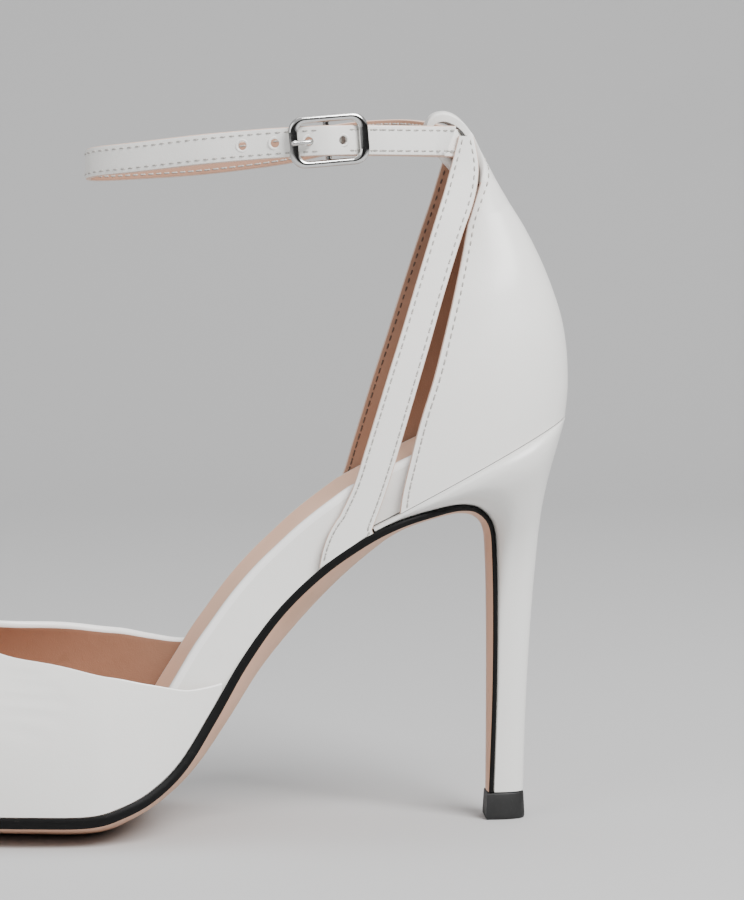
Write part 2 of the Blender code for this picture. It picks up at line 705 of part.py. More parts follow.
def vamp_grid(inset):
    """The ribs of one face of the vamp, from the lateral corner round the toe to the medial corner."""
    grid = []
    for ribs, side in ((LATERAL_RIBS, 1), (MEDIAL_RIBS, -1)):
        lines = []
        for at in np.arange(0, len(ribs) - 0.9, 0.5):
            foot, top, turn = between(np.array(ribs), at)
            front = max(0.0, (foot - 0.55) / 0.45)
            line = []
            for share in VAMP_RISE:
                ahead = foot + (top - foot) * share ** (1 + 0.8 * front)
                swing = turn * (1 - (1 - share) ** (1 + 7 * front**3))
                line.append(last_point(ahead * LENGTH, swing, side, inset))
            lines.append(line)
        grid.append(lines)
    throat = LATERAL_RIBS[-1].top
    toe = []
    for share in VAMP_RISE:
        ahead = 1.0 + (throat - 1.0) * share**1.8
        toe.append(last_point(ahead * LENGTH, 90, 1, inset))
    return grid[0] + [toe] + grid[1][::-1]


def build_vamp():
    """The vamp: one wall round the toe, open at the throat and underneath, low at the sides."""
    return wall("vamp", vamp_grid(0.0), vamp_grid(WALL), WHITE, 0.35)


COUNTER_TURNS = np.radians(np.linspace(90, -90, 19))


def counter_line(back, front, lateral, medial, lift):
    """One level of the counter, round the back from its lateral front edge to its medial one."""
    line = []
    for turn in COUNTER_TURNS:
        deep = max(math.cos(turn), 0.0) ** SEAT_POWER
        half = lateral if turn > 0 else medial
        spot = front + (back - front) * deep
        line.append([spot[0], math.copysign(abs(math.sin(turn)) ** SEAT_POWER * half, turn), spot[1] + lift])
    return line


def build_counter():
    """The counter: a cupped wall round the heel, whose tongue folds over the ankle strap and down inside."""
    top = HEEL_HEIGHT + COUNTER_HEIGHT
    low = seat_height(COUNTER_FRONT)
    lowest = COUNTER[0].front_height
    outer, inner = [], []
    for at in np.arange(0, len(COUNTER) - 0.9, 0.5):
        height, back_share, front_share, front_ahead, lateral, medial = between(np.array(COUNTER), at)
        back = np.array([-back_share * SEAT_REACH, HEEL_HEIGHT + height * COUNTER_HEIGHT])
        front = np.array([front_ahead * LENGTH, low + (front_share - lowest) / (1 - lowest) * (top - low)])
        halves = np.array([lateral, medial]) * SEAT_WIDTH / 2
        outer.append(counter_line(back, front, *halves, CLEAR))
        inner.append(counter_line(back + [WALL, 0], front, *(halves - WALL), CLEAR))
    folds = np.array(FOLDS)
    for at in range(len(FOLDS)):
        height, ahead, cup, width = between(folds, at)
        before, after = between(folds, max(at - 0.1, 0)), between(folds, at + 0.1)
        heading = np.array([(after[1] - before[1]) * LENGTH, (after[0] - before[0]) * COUNTER_HEIGHT])
        heading /= np.linalg.norm(heading)
        inward = np.array([heading[1], -heading[0]]) * WALL
        back = np.array([ahead * LENGTH, HEEL_HEIGHT + height * COUNTER_HEIGHT])
        front = back + [cup * LOOP_WIDTH, 0]
        half = width * LOOP_WIDTH / 2
        outer.append(counter_line(back, front, half, half, CLEAR))
        narrow = half - WALL * min(1.0, cup * 2)
        inner_front = front + inward * (1 - min(1.0, cup * 2))
        inner.append(counter_line(back + inward, inner_front, narrow, narrow, CLEAR))
    return wall("counter", outer, inner, WHITE, 0.35)


def build_side_strap(name, side, end):
    """A side strap, from the sole's edge at the waist up to the ankle strap."""
    ahead_end, height_end, way_out = end
    foot_ahead = SIDE_STRAP_FOOT * LENGTH
    foot_station = between(SOLE_ROWS, row_at(foot_ahead))
    foot = np.array([foot_ahead, foot_station[1]])
    top = np.array([ahead_end * LENGTH, HEEL_HEIGHT + height_end * COUNTER_HEIGHT])
    foot_out = abs(foot_station[2] if side > 0 else foot_station[3]) - CLEAR
    span = top - foot
    ahead_normal = np.array([span[1], -span[0]]) / np.linalg.norm(span)
    across_stops = (-0.5, -0.17, 0.17, 0.5)
    outside = []
    foot_line = []
    for across in across_stops:
        ahead = foot_ahead + across * SIDE_STRAP_SPREAD * SIDE_STRAP_WIDTH
        foot_line.append([ahead, foot_out, between(SOLE_ROWS, row_at(ahead))[1] + CLEAR])
    outside.append(foot_line)
    for at in np.arange(0, len(SIDE_STRAP) - 0.9, 0.5):
        up, bow, out, width = between(np.array(SIDE_STRAP), at)
        before, after = between(np.array(SIDE_STRAP), max(at - 0.1, 0)), between(np.array(SIDE_STRAP), at + 0.1)
        middle = foot + span * up + ahead_normal * bow * SIDE_STRAP_WIDTH
        heading = span * (after[0] - before[0]) + ahead_normal * (after[1] - before[1]) * SIDE_STRAP_WIDTH
        heading /= np.linalg.norm(heading)
        sideways = np.array([heading[1], -heading[0]])
        away = foot_out * out * (1 + (way_out - 1) * up**3)
        line = []
        for across in across_stops:
            spot = middle + sideways * across * width * SIDE_STRAP_WIDTH
            line.append([spot[0], away, spot[1]])
        outside.append(line)
    rings = []
    for line in outside:
        ring = [[ahead, side * out, height] for ahead, out, height in line]
        ring += [[ahead, side * (out - SIDE_STRAP_THICKNESS), height] for ahead, out, height in reversed(line)]
        rings.append(ring)
    return solid(name, rings, WHITE, 0.35)


def girth_line(stops):
    """The ankle strap's middle line at rows of its table: each point, its width direction and its outward one."""
    rows = np.array(GIRTH)
    layer = ANKLE_STRAP_THICKNESS + CLEAR

    def middle(at):
        ahead, out, height, _, _ = between(rows, at)
        return np.array([ahead * STRAP_REACH, out * STRAP_SPAN / 2, HEEL_HEIGHT + height * COUNTER_HEIGHT])

    def placed(at):
        heading = middle(at + 0.02) - middle(max(at - 0.02, 0))
        heading /= np.linalg.norm(heading)
        lean = math.radians(float(between(rows[:, 3], at)))
        level = np.cross([0, 0, 1.0], heading)
        level /= np.linalg.norm(level)
        # The strap starts backwards on the lateral side, so its outward side is on the left hand of its heading.
        outward = -level
        tilt = np.array([math.sin(lean), 0, math.cos(lean)])
        wide = tilt - heading * float(tilt @ heading)
        wide /= np.linalg.norm(wide)
        thick = np.cross(heading, wide)
        if float(thick @ outward) < 0:
            thick = -thick
        return middle(at), wide, thick, float(between(rows[:, 4], at)) * layer

    return [placed(at) for at in stops]


def ribbon_ring(point, wide, thick, width, thickness):
    """A strap's rectangular section."""
    return [
        point + wide * width / 2 * across + thick * thickness / 2 * out
        for across, out in ((1, 1), (-1, 1), (-1, -1), (1, -1))
    ]


def buckle_frame_axes():
    """The buckle's own axes: its origin on the strap's line under the bar, back along the strap, up and out."""
    (low, _, _, _), (here, wide, thick, _), (high, _, _, _) = girth_line(
        (BUCKLE_ROW - 1.5, BUCKLE_ROW, BUCKLE_ROW + 1.5)
    )
    # The strap runs back along its table here, so the next rows lie towards the heel.
    backward = (high - low) / np.linalg.norm(high - low)
    up = np.array([0, 0, 1.0]) - backward * backward[2]
    up /= np.linalg.norm(up)
    out = np.cross(backward, up)
    if float(out @ thick) < 0:
        out = -out
    return here, backward, up, out


BAR_OUT = SKIVED / 2 + SLIP + BAR_RADIUS  # of the bar's centre, outside the strap's line
FRAME_OUT = 1.5 * ANKLE_STRAP_THICKNESS + 2 * CLEAR + BUCKLE_DEPTH / 2  # of the frame's middle plane


def tilted_axes():
    """The same axes, swung a little in the strap's own plane: the frame hangs so on its strap."""
    origin, backward, up, out = buckle_frame_axes()
    tilt = math.radians(BUCKLE_TILT)
    swung = backward * math.cos(tilt) + up * math.sin(tilt)
    return origin, swung, up * math.cos(tilt) - backward * math.sin(tilt), out


def build_ankle_strap():
    """The ankle strap: one ribbon from its fold round the buckle's bar, back through the loop, round the ankle
    and through the buckle to the tip of its billet, with a row of holes."""
    origin, backward, up, out = buckle_frame_axes()
    rings = []
    turn_radius = BAR_RADIUS + SLIP + SKIVED / 2
    fold = [(2.2 * turn_radius, BAR_OUT + 0.4 * turn_radius), (1.1 * turn_radius, BAR_OUT + 0.9 * turn_radius)]
    for angle in np.radians(np.arange(90, 271, 20)):
        fold.append((turn_radius * math.cos(angle), BAR_OUT + turn_radius * math.sin(angle)))
    fold.append((1.2 * turn_radius, BAR_OUT - turn_radius))
    path = np.array(fold)
    for at, (here_back, here_out) in enumerate(path):
        before, after = path[max(at - 1, 0)], path[min(at + 1, len(path) - 1)]
        heading = (after - before) / np.linalg.norm(after - before)
        normal = backward * -heading[1] + out * heading[0]
        point = origin + backward * here_back + out * here_out
        rings.append(ribbon_ring(point, up, normal, ANKLE_STRAP_WIDTH, SKIVED))
    stops = np.arange(0, len(GIRTH) - 0.9, 1 / 3)
    for point, wide, thick, layer in girth_line(stops):
        rings.append(ribbon_ring(point + thick * layer, wide, thick, ANKLE_STRAP_WIDTH, ANKLE_STRAP_THICKNESS))
    tip_back = backward * TIP_SLANT * ANKLE_STRAP_WIDTH
    for step in range(TIP_RINGS):
        for corner in (1, 2):
            ring = rings[-1 - step]
            ring[corner] = ring[corner] - tip_back * (1 - step / TIP_RINGS)
    strap = solid("ankle_strap", rings, WHITE, 0.35)
    for hole in range(HOLES):
        (point, wide, thick, layer), = girth_line((hole_row(hole),))
        cut_hole(strap, f"hole_cutter_{hole}", point + thick * layer, thick)
    slot = bpy.data.objects.new("slot_cutter", box_mesh((SLOT_LENGTH, SLOT_WIDTH, SLOT_DEPTH)))
    slot.matrix_world = axes_matrix(origin + out * (BAR_OUT - SLOT_SHIFT), backward, up, out)
    add_cutter(strap, slot)
    return strap


def hole_row(hole):
    """The table's row at one of the billet's holes: the third holds the prong."""
    prong_ahead = GIRTH[BUCKLE_ROW].ahead * STRAP_REACH + PRONG_LEAD
    ahead = prong_ahead + (2 - hole) * HOLE_PITCH
    rows = np.linspace(BILLET_ROW, len(GIRTH) - 1, 400)
    return float(np.interp(-ahead, -between([g.ahead * STRAP_REACH for g in GIRTH], rows), rows))


def axes_matrix(origin, first, second, third):
    """A placing with its own three axes."""
    columns = [Vector(axis) for axis in (first, second, third)]
    if columns[0].cross(columns[1]).dot(columns[2]) < 0:
        columns[1] = -columns[1]
    matrix = Matrix.Identity(4)
    for column, axis in enumerate(columns):
        for row in range(3):
            matrix[row][column] = axis[row]
    matrix.translation = Vector(origin)
    return matrix


def box_mesh(size):
    """A closed box, centred on its own origin."""
    mesh = bmesh.new()
    bmesh.ops.create_cube(mesh, size=1.0)
    bmesh.ops.scale(mesh, vec=Vector(size), verts=mesh.verts)
    data = bpy.data.meshes.new("box")
    mesh.to_mesh(data)
    mesh.free()
    return data


def rod_mesh(radius, length, sides=12):
    """A closed rod along its own Z axis."""
    mesh = bmesh.new()
    bmesh.ops.create_cone(mesh, cap_ends=True, segments=sides, radius1=radius, radius2=radius, depth=length)
    data = bpy.data.meshes.new("rod")
    mesh.to_mesh(data)
    mesh.free()
    return data


def add_cutter(target, cutter, operation="DIFFERENCE"):
    """Cuts the target by another object, or joins it, with a modifier that stays on the target."""
    bpy.context.collection.objects.link(cutter)
    cutter.hide_render = True
    cutter.display_type = "WIRE"
    modifier = target.modifiers.new(cutter.name, "BOOLEAN")
    modifier.operation = operation
    modifier.object = cutter


def cut_hole(target, name, point, through):
    """A round hole through the strap."""
    rod = bpy.data.objects.new(name, rod_mesh(HOLE_DIAMETER / 2, 2.2 * ANKLE_STRAP_THICKNESS))
    rod.matrix_world = Vector(through).to_track_quat("Z", "Y").to_matrix().to_4x4()
    rod.location = Vector(point)
    add_cutter(target, rod)


def rounded_rectangle(length, height, corner, steps=5):
    """Points round a rectangle with round corners, one corner after another."""
    points = []
    for start, (x, y) in enumerate(((1, 1), (-1, 1), (-1, -1), (1, -1))):
        for step in range(steps):
            angle = math.radians(90 * (start + step / (steps - 1)))
            points.append((
                x * (length / 2 - corner) + corner * math.cos(angle),
                y * (height / 2 - corner) + corner * math.sin(angle),
            ))
    return points


def build_buckle_frame():
    """The buckle's frame: a rounded oblong ring with a centre bar set back behind it on two short posts."""
    origin, backward, up, out = tilted_axes()
    outer = rounded_rectangle(BUCKLE_LENGTH, BUCKLE_HEIGHT, BUCKLE_CORNER)
    inner = rounded_rectangle(
        BUCKLE_LENGTH - 2 * BUCKLE_END, BUCKLE_HEIGHT - 2 * BUCKLE_RAIL, BUCKLE_CORNER - BUCKLE_RAIL
    )
    section = ((0.0, 0.22), (0.16, 0.44), (0.38, 0.5), (0.62, 0.5), (0.84, 0.44), (1.0, 0.22))
    section += tuple((share, -deep) for share, deep in reversed(section))
    mesh = bmesh.new()
    rings = []
    for outside, inside in zip(outer, inner):
        ring = []
        for share, deep in section:
            along_strap = outside[0] + (inside[0] - outside[0]) * share
            across = outside[1] + (inside[1] - outside[1]) * share
            place = backward * along_strap + up * across + out * (FRAME_OUT + deep * BUCKLE_DEPTH)
            ring.append(mesh.verts.new(origin + place))
        rings.append(ring)
    for first, second in zip(rings, rings[1:] + rings[:1]):
        for here in range(len(first)):
            after = (here + 1) % len(first)
            mesh.faces.new((first[here], first[after], second[after], second[here]))
    frame = finish("buckle_frame", mesh, CHROME, 0.12, 1.0)
    rail = BUCKLE_HEIGHT / 2 - BUCKLE_RAIL / 2
    bar = bpy.data.objects.new("bar_joined", rod_mesh(BAR_RADIUS, 2 * rail + 0.8 * BUCKLE_RAIL))
    bar.matrix_world = axes_matrix(origin + out * BAR_OUT, backward, out, up)
    add_cutter(frame, bar, "UNION")
    for side in (1, -1):
        post_mesh = rod_mesh(0.8 * BUCKLE_RAIL / 2, FRAME_OUT - BAR_OUT)
        post = bpy.data.objects.new(f"post_joined_{side + 1}", post_mesh)
        middle = origin + up * side * rail + out * (FRAME_OUT + BAR_OUT) / 2
        post.matrix_world = axes_matrix(middle, backward, up, out)
        add_cutter(frame, post, "UNION")
    return frame


def build_buckle_prong():
    """The prong: it hooks round the centre bar, comes up through the billet's hole and lies on the frame's end."""
    origin, backward, up, out = tilted_axes()
    radius = BAR_RADIUS + SLIP + PRONG_RADIUS
    rest = FRAME_OUT + BUCKLE_DEPTH / 2 + CLEAR + PRONG_RADIUS
    turns = np.radians(np.arange(-50, 91, 20))
    path = [(radius * math.cos(angle), BAR_OUT + radius * math.sin(angle)) for angle in turns]
    path += [
        (-0.45 * PRONG_LEAD, BAR_OUT + 0.66 * radius),
        (-0.78 * PRONG_LEAD, BAR_OUT + 0.44 * radius),
        (-0.94 * PRONG_LEAD, BAR_OUT + 0.72 * radius),
        (-1.02 * PRONG_LEAD, rest - 1.1 * PRONG_RADIUS),
        (-1.14 * PRONG_LEAD, rest),
        (-(BUCKLE_LENGTH / 2 - 0.55 * BUCKLE_END), rest),
        (-(BUCKLE_LENGTH / 2 - 0.15 * BUCKLE_END), rest),
    ]
    path = np.array(path)
    rings = []
    for at, (here_back, here_out) in enumerate(path):
        before, after = path[max(at - 1, 0)], path[min(at + 1, len(path) - 1)]
        heading = (after - before) / np.linalg.norm(after - before)
        normal = backward * -heading[1] + out * heading[0]
        centre = origin + backward * here_back + out * here_out
        thin = 0.75 if at == len(path) - 1 else 1.0
        rings.append([
            centre + (up * math.cos(angle) + normal * math.sin(angle)) * PRONG_RADIUS * thin
            for angle in np.linspace(0, math.tau, 8, endpoint=False)
        ])
    return solid("buckle_prong", rings, CHROME, 0.12, 1.0)


def main():
    """Empties the scene and builds the shoe."""
    for old in list(bpy.data.objects):
        bpy.data.objects.remove(old, do_unlink=True)
    build_outsole()
    build_insole()
    build_heel()
    build_top_piece()
    build_vamp()
    build_counter()
    build_side_strap("side_strap_lateral", 1, LATERAL_END)
    build_side_strap("side_strap_medial", -1, MEDIAL_END)
    build_ankle_strap()
    build_buckle_frame()
    build_buckle_prong()


main()
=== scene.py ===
"""Dresses an ankle strap pump for the left foot: leather, lining, stitches, painted edges and chrome buckle.

Frame: +X runs towards the toe, +Y is the outer side of the foot, +Z is up. Lengths are in metres.
"""

from __future__ import annotations

import logging  # noqa: E402
import math  # noqa: E402
from dataclasses import dataclass  # noqa: E402
from enum import Enum  # noqa: E402
from typing import Callable, Sequence  # noqa: E402

import bmesh  # noqa: E402
import bpy  # noqa: E402
import numpy as np  # noqa: E402
from mathutils import Matrix, Vector  # noqa: E402

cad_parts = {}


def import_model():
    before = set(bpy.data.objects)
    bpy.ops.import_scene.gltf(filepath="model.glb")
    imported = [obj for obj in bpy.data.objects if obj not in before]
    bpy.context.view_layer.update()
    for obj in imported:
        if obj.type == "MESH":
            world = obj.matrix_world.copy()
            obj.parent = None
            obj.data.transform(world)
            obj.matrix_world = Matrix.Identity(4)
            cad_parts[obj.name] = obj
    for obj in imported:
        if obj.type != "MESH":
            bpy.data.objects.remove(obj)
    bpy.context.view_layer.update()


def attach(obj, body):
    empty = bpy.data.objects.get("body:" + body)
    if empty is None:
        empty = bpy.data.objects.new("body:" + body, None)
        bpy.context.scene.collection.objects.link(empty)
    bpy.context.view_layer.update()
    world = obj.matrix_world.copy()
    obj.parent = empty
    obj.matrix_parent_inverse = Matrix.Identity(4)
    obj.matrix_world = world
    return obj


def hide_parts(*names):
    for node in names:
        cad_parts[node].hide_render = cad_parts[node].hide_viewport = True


log = logging.getLogger("ankle_strap_pump")

Colour = tuple[float, float, float]
Table = Sequence[Sequence[float]]
Station = tuple[np.ndarray, np.ndarray, float]
Node = bpy.types.Node
Socket = bpy.types.NodeSocket
Tree = bpy.types.NodeTree

# The angle in degrees past which an edge is drawn sharp
SHARP_EDGE = 42.0
# The slots of a piece that has one finish
ONE_FINISH = np.array([0])
# The sides of a round rod
ROD_SIDES = 24


class Side(Enum):
    """A side of the foot."""

    LATERAL = 1
    MEDIAL = -1


def between(values: Table, at: float | np.ndarray) -> np.ndarray:
    """Reads evenly numbered rows at fractional rows, along a smooth curve through them.

    Args:
        values: the rows.
        at: the row or rows to read.

    Returns:
        The values there.
    """
    rows = np.asarray(values, float)
    at = np.clip(np.asarray(at, float), 0, len(rows) - 1)
    low = np.minimum(at.astype(int), len(rows) - 2)
    share = (at - low).reshape(at.shape + (1,) * (rows.ndim - 1))
    padded = np.concatenate([[2 * rows[0] - rows[1]], rows, [2 * rows[-1] - rows[-2]]])
    before, start, end, after = (padded[low + k] for k in range(4))
    bend = 2 * before - 5 * start + 4 * end - after
    turn = 3 * start - before - 3 * end + after
    return start + share * (end - before) / 2 + share**2 * bend / 2 + share**3 * turn / 2


def along(knots: Sequence[float], values: Sequence[float], at: float) -> float:
    """Reads values at unevenly spaced knots along a smooth curve through them.

    Args:
        knots: where the values are, rising.
        values: the values.
        at: the place to read.

    Returns:
        The value there.
    """
    knots, values = np.asarray(knots, float), np.asarray(values, float)
    at = float(np.clip(at, knots[0], knots[-1]))
    step = np.diff(knots)
    slope = np.diff(values) / step
    tangent = np.empty_like(values)
    tangent[0], tangent[-1] = slope[0], slope[-1]
    tangent[1:-1] = (slope[:-1] * step[1:] + slope[1:] * step[:-1]) / (step[:-1] + step[1:])
    low = int(np.clip(np.searchsorted(knots, at) - 1, 0, len(knots) - 2))
    s = (at - knots[low]) / step[low]
    start = (1 + 2 * s) * (1 - s) ** 2 * values[low] + s * (1 - s) ** 2 * step[low] * tangent[low]
    end = s**2 * (3 - 2 * s) * values[low + 1] + s**2 * (s - 1) * step[low] * tangent[low + 1]
    return float(start + end)


def unit(direction: np.ndarray) -> np.ndarray:
    """The direction with a length of one."""
    return direction / np.linalg.norm(direction)


def stops(first: float, last: float, pieces: int) -> np.ndarray:
    """Evenly spaced rows from first to last."""
    return np.linspace(first, last, pieces + 1)


def row_stops(rows: Sequence, pieces: int) -> np.ndarray:
    """Row numbers from the first row to the last, with this many steps from each row to the next."""
    return stops(0, len(rows) - 1, pieces * (len(rows) - 1))


def headings(route: np.ndarray) -> list[np.ndarray]:
    """The direction of a route at each of its points."""
    last = len(route) - 1
    return [unit(route[min(at + 1, last)] - route[max(at - 1, 0)]) for at in range(len(route))]


def eased(rows: np.ndarray, reach: int) -> np.ndarray:
    """Smooths a run of rows with a rounded window, its two ends kept.

    Args:
        rows: the rows.
        reach: how many rows on each side the window takes in.

    Returns:
        The smoothed rows.
    """
    ahead, behind = 2 * rows[0] - rows[reach:0:-1], 2 * rows[-1] - rows[-2:-reach - 2:-1]
    padded = np.concatenate([ahead, rows, behind])
    window = np.hanning(2 * reach + 3)[1:-1]
    window /= window.sum()
    return np.column_stack([np.convolve(column, window, "valid") for column in padded.T])


def arch(share: float, power: float) -> float:
    """How far out a rounded arch stands at a share of the way from its open end to its crown."""
    rise = float(np.clip(share, 0.0, 1.0)) ** (1 / power)
    return math.sqrt(max(0.0, 1 - rise**2)) ** power


@dataclass(frozen=True)
class Last:
    """The last that the shoe is built on, and the line of its sole, as shares of its named sizes.

    The sole's rows hold: ahead, rise, lateral, medial, crown, edge. The crest's hold: ahead, height.
    """

    length: float = 0.225
    ball_width: float = 0.074
    seat_width: float = 0.049
    seat_reach: float = 0.0156
    heel_height: float = 0.106
    instep: float = 0.044
    counter_height: float = 0.0785
    sole_edge: float = 0.0027
    crown: float = 0.0062
    tread_sink: float = 0.0003
    tread_crown: float = 0.90
    tread_flat: float = 0.34
    top_piece: float = 0.0070
    wall: float = 0.0016
    clear: float = 0.0003
    section_power: float = 2.0 / 2.3
    seat_power: float = 2.0 / 2.4
    nose: float = 0.85
    wing_edge: float = 0.0008
    wing_row: float = 17.4
    counter_foot: tuple[float, float, float] = (0.1290, 0.980, 0.920)
    sole: Table = (
        (1.000, 0.008, -0.068, -0.068, 0.00, 0.85),
        (0.994, 0.0075, -0.022, -0.114, 0.11, 0.88),
        (0.975, 0.006, 0.027, -0.165, 0.23, 0.90),
        (0.938, 0.005, 0.100, -0.240, 0.39, 0.92),
        (0.875, 0.003, 0.195, -0.330, 0.54, 0.94),
        (0.790, 0.001, 0.300, -0.415, 0.68, 0.96),
        (0.700, 0.000, 0.395, -0.480, 0.77, 0.98),
        (0.620, 0.000, 0.455, -0.510, 0.85, 1.00),
        (0.545, 0.000, 0.490, -0.505, 0.90, 1.00),
        (0.480, 0.001, 0.495, -0.480, 0.90, 1.00),
        (0.445, 0.020, 0.475, -0.455, 0.76, 0.96),
        (0.412, 0.057, 0.440, -0.420, 0.62, 0.92),
        (0.379, 0.126, 0.395, -0.380, 0.58, 0.90),
        (0.345, 0.245, 0.345, -0.330, 0.66, 0.87),
        (0.310, 0.380, 0.310, -0.290, 0.76, 0.84),
        (0.269, 0.506, 0.292, -0.268, 0.89, 0.77),
        (0.222, 0.612, 0.300, -0.272, 0.80, 0.76),
        (0.174, 0.690, 0.308, -0.280, 0.58, 0.74),
        (0.133, 0.737, 0.303, -0.280, 0.36, 0.70),
        (0.089, 0.764, 0.260, -0.245, 0.27, 0.62),
        (0.056, 0.772, 0.185, -0.180, 0.23, 0.56),
        (0.032, 0.757, 0.125, -0.125, 0.21, 0.50),
        (0.0155, 0.709, 0.089, -0.089, 0.19, 0.45),
        (0.0112, 0.612, 0.076, -0.076, 0.19, 0.45),
        (0.0098, 0.429, 0.068, -0.068, 0.19, 0.45),
        (0.0105, 0.224, 0.061, -0.061, 0.16, 0.45),
        (0.0138, 0.000, 0.058, -0.058, 0.05, 0.45),
    )
    crest: Table = (
        (0.30, 1.62), (0.40, 1.50), (0.49, 1.32), (0.578, 1.135), (0.658, 1.00), (0.70, 0.935),
        (0.79, 0.80), (0.875, 0.62), (0.938, 0.42), (0.975, 0.26), (0.994, 0.13), (1.00, 0.0),
    )

    @property
    def rows(self) -> np.ndarray:
        """The sole's table in metres."""
        rows = np.array(self.sole)
        edge_rise = self.tread_crown * self.crown + self.sole_edge - self.tread_sink
        rise = rows[:, 1] * (self.heel_height - edge_rise) + edge_rise
        rise[-1] = self.top_piece + self.clear
        scale = [self.ball_width, self.ball_width, self.crown, self.sole_edge]
        return np.column_stack([rows[:, 0] * self.length, rise, rows[:, 2:] * scale])

    def row_at(self, ahead: float) -> float:
        """The row of the sole's table whose station lies this far ahead, from the toe to the waist."""
        fine = np.linspace(0, self.wing_row, 700)
        return float(np.interp(-ahead, -between(self.rows[:, 0], fine), fine))

    def sole_point(self, row: float, across: float, lift: float, flat: float = 0.0) -> np.ndarray:
        """A point over the sole's edge line.

        Args:
            row: the row of the sole's table.
            across: 1 at the lateral edge, -1 at the medial edge.
            lift: how far it lies above the line.
            flat: 1 to level the crown of the underside.

        Returns:
            The point.
        """
        here = between(self.rows, row)
        low = between(self.rows[:, :2], max(row - 0.02, 0))
        high = between(self.rows[:, :2], row + 0.02)
        heading = unit(high - low)
        up = np.array([heading[1], -heading[0]])
        swell = here[4] * (1 - flat) * min(1.0, (1 - across**2) / (1 - self.tread_flat**2))
        ahead, height = here[:2] + up * (lift - swell)
        middle, half = (here[2] + here[3]) / 2, (here[2] - here[3]) / 2
        return np.array([ahead, middle + half * across, height])

    @property
    def seat_front(self) -> np.ndarray:
        """Where the seat's plane meets the sole's edge, as ahead and height."""
        return self.sole_point(self.wing_row, 1.0, self.clear + self.wing_edge)[[0, 2]]

    @property
    def seat_back(self) -> np.ndarray:
        """The counter's lower back corner, as ahead and height."""
        return np.array([-self.seat_reach, self.heel_height])

    def seat_height(self, ahead: float) -> float:
        """Height of the seat's plane."""
        front, back = self.seat_front, self.seat_back
        return float(back[1] + (ahead - back[0]) / (front[0] - back[0]) * (front[1] - back[1]))

    def seat_half(self, ahead: float, side: Side, inset: float = 0.0) -> float:
        """Half the width of the counter's foot on one side."""
        front = self.counter_foot[0] * self.length
        share_out = self.counter_foot[1] if side is Side.LATERAL else self.counter_foot[2]
        front_half = share_out * self.seat_width / 2 - inset
        if ahead <= front:
            return front_half * arch((front - ahead) / (front + self.seat_reach - inset), self.seat_power)
        here = between(self.rows, self.wing_row)
        wing_half = abs(here[2] if side is Side.LATERAL else here[3]) - inset
        return front_half + (wing_half - front_half) * (ahead - front) / (self.seat_front[0] - front)

    def upper_point(self, ahead: float, turn: float, side: Side, inset: float) -> np.ndarray:
        """A point on the vamp, turn degrees round the last's section from the sole's edge to the crest.

        Args:
            ahead: how far towards the toe.
            turn: the angle round the section, in degrees.
            side: the side of the foot.
            inset: how far inside the vamp's outer face.

        Returns:
            The point.
        """
        here = between(self.rows, self.row_at(ahead))
        middle, half = (here[2] + here[3]) / 2, (here[2] - here[3]) / 2
        places = [place * self.length for place, _ in self.crest]
        heights = [height * self.instep for _, height in self.crest]
        crest = max(along(places, heights, ahead), 0.0)
        half = max(half, 0.0)
        if inset:
            half -= inset * math.tanh(half / inset)
            crest -= inset * math.tanh(crest / inset)
            ahead -= inset * max(0.0, (ahead / self.length - self.nose) / (1 - self.nose))
        angle = math.radians(turn)
        out = max(math.cos(angle), 0.0) ** self.section_power if turn < 90 else 0.0
        rise = math.sin(angle) ** self.section_power
        return np.array([ahead, middle + side.value * half * out, here[1] + self.clear + crest * rise])


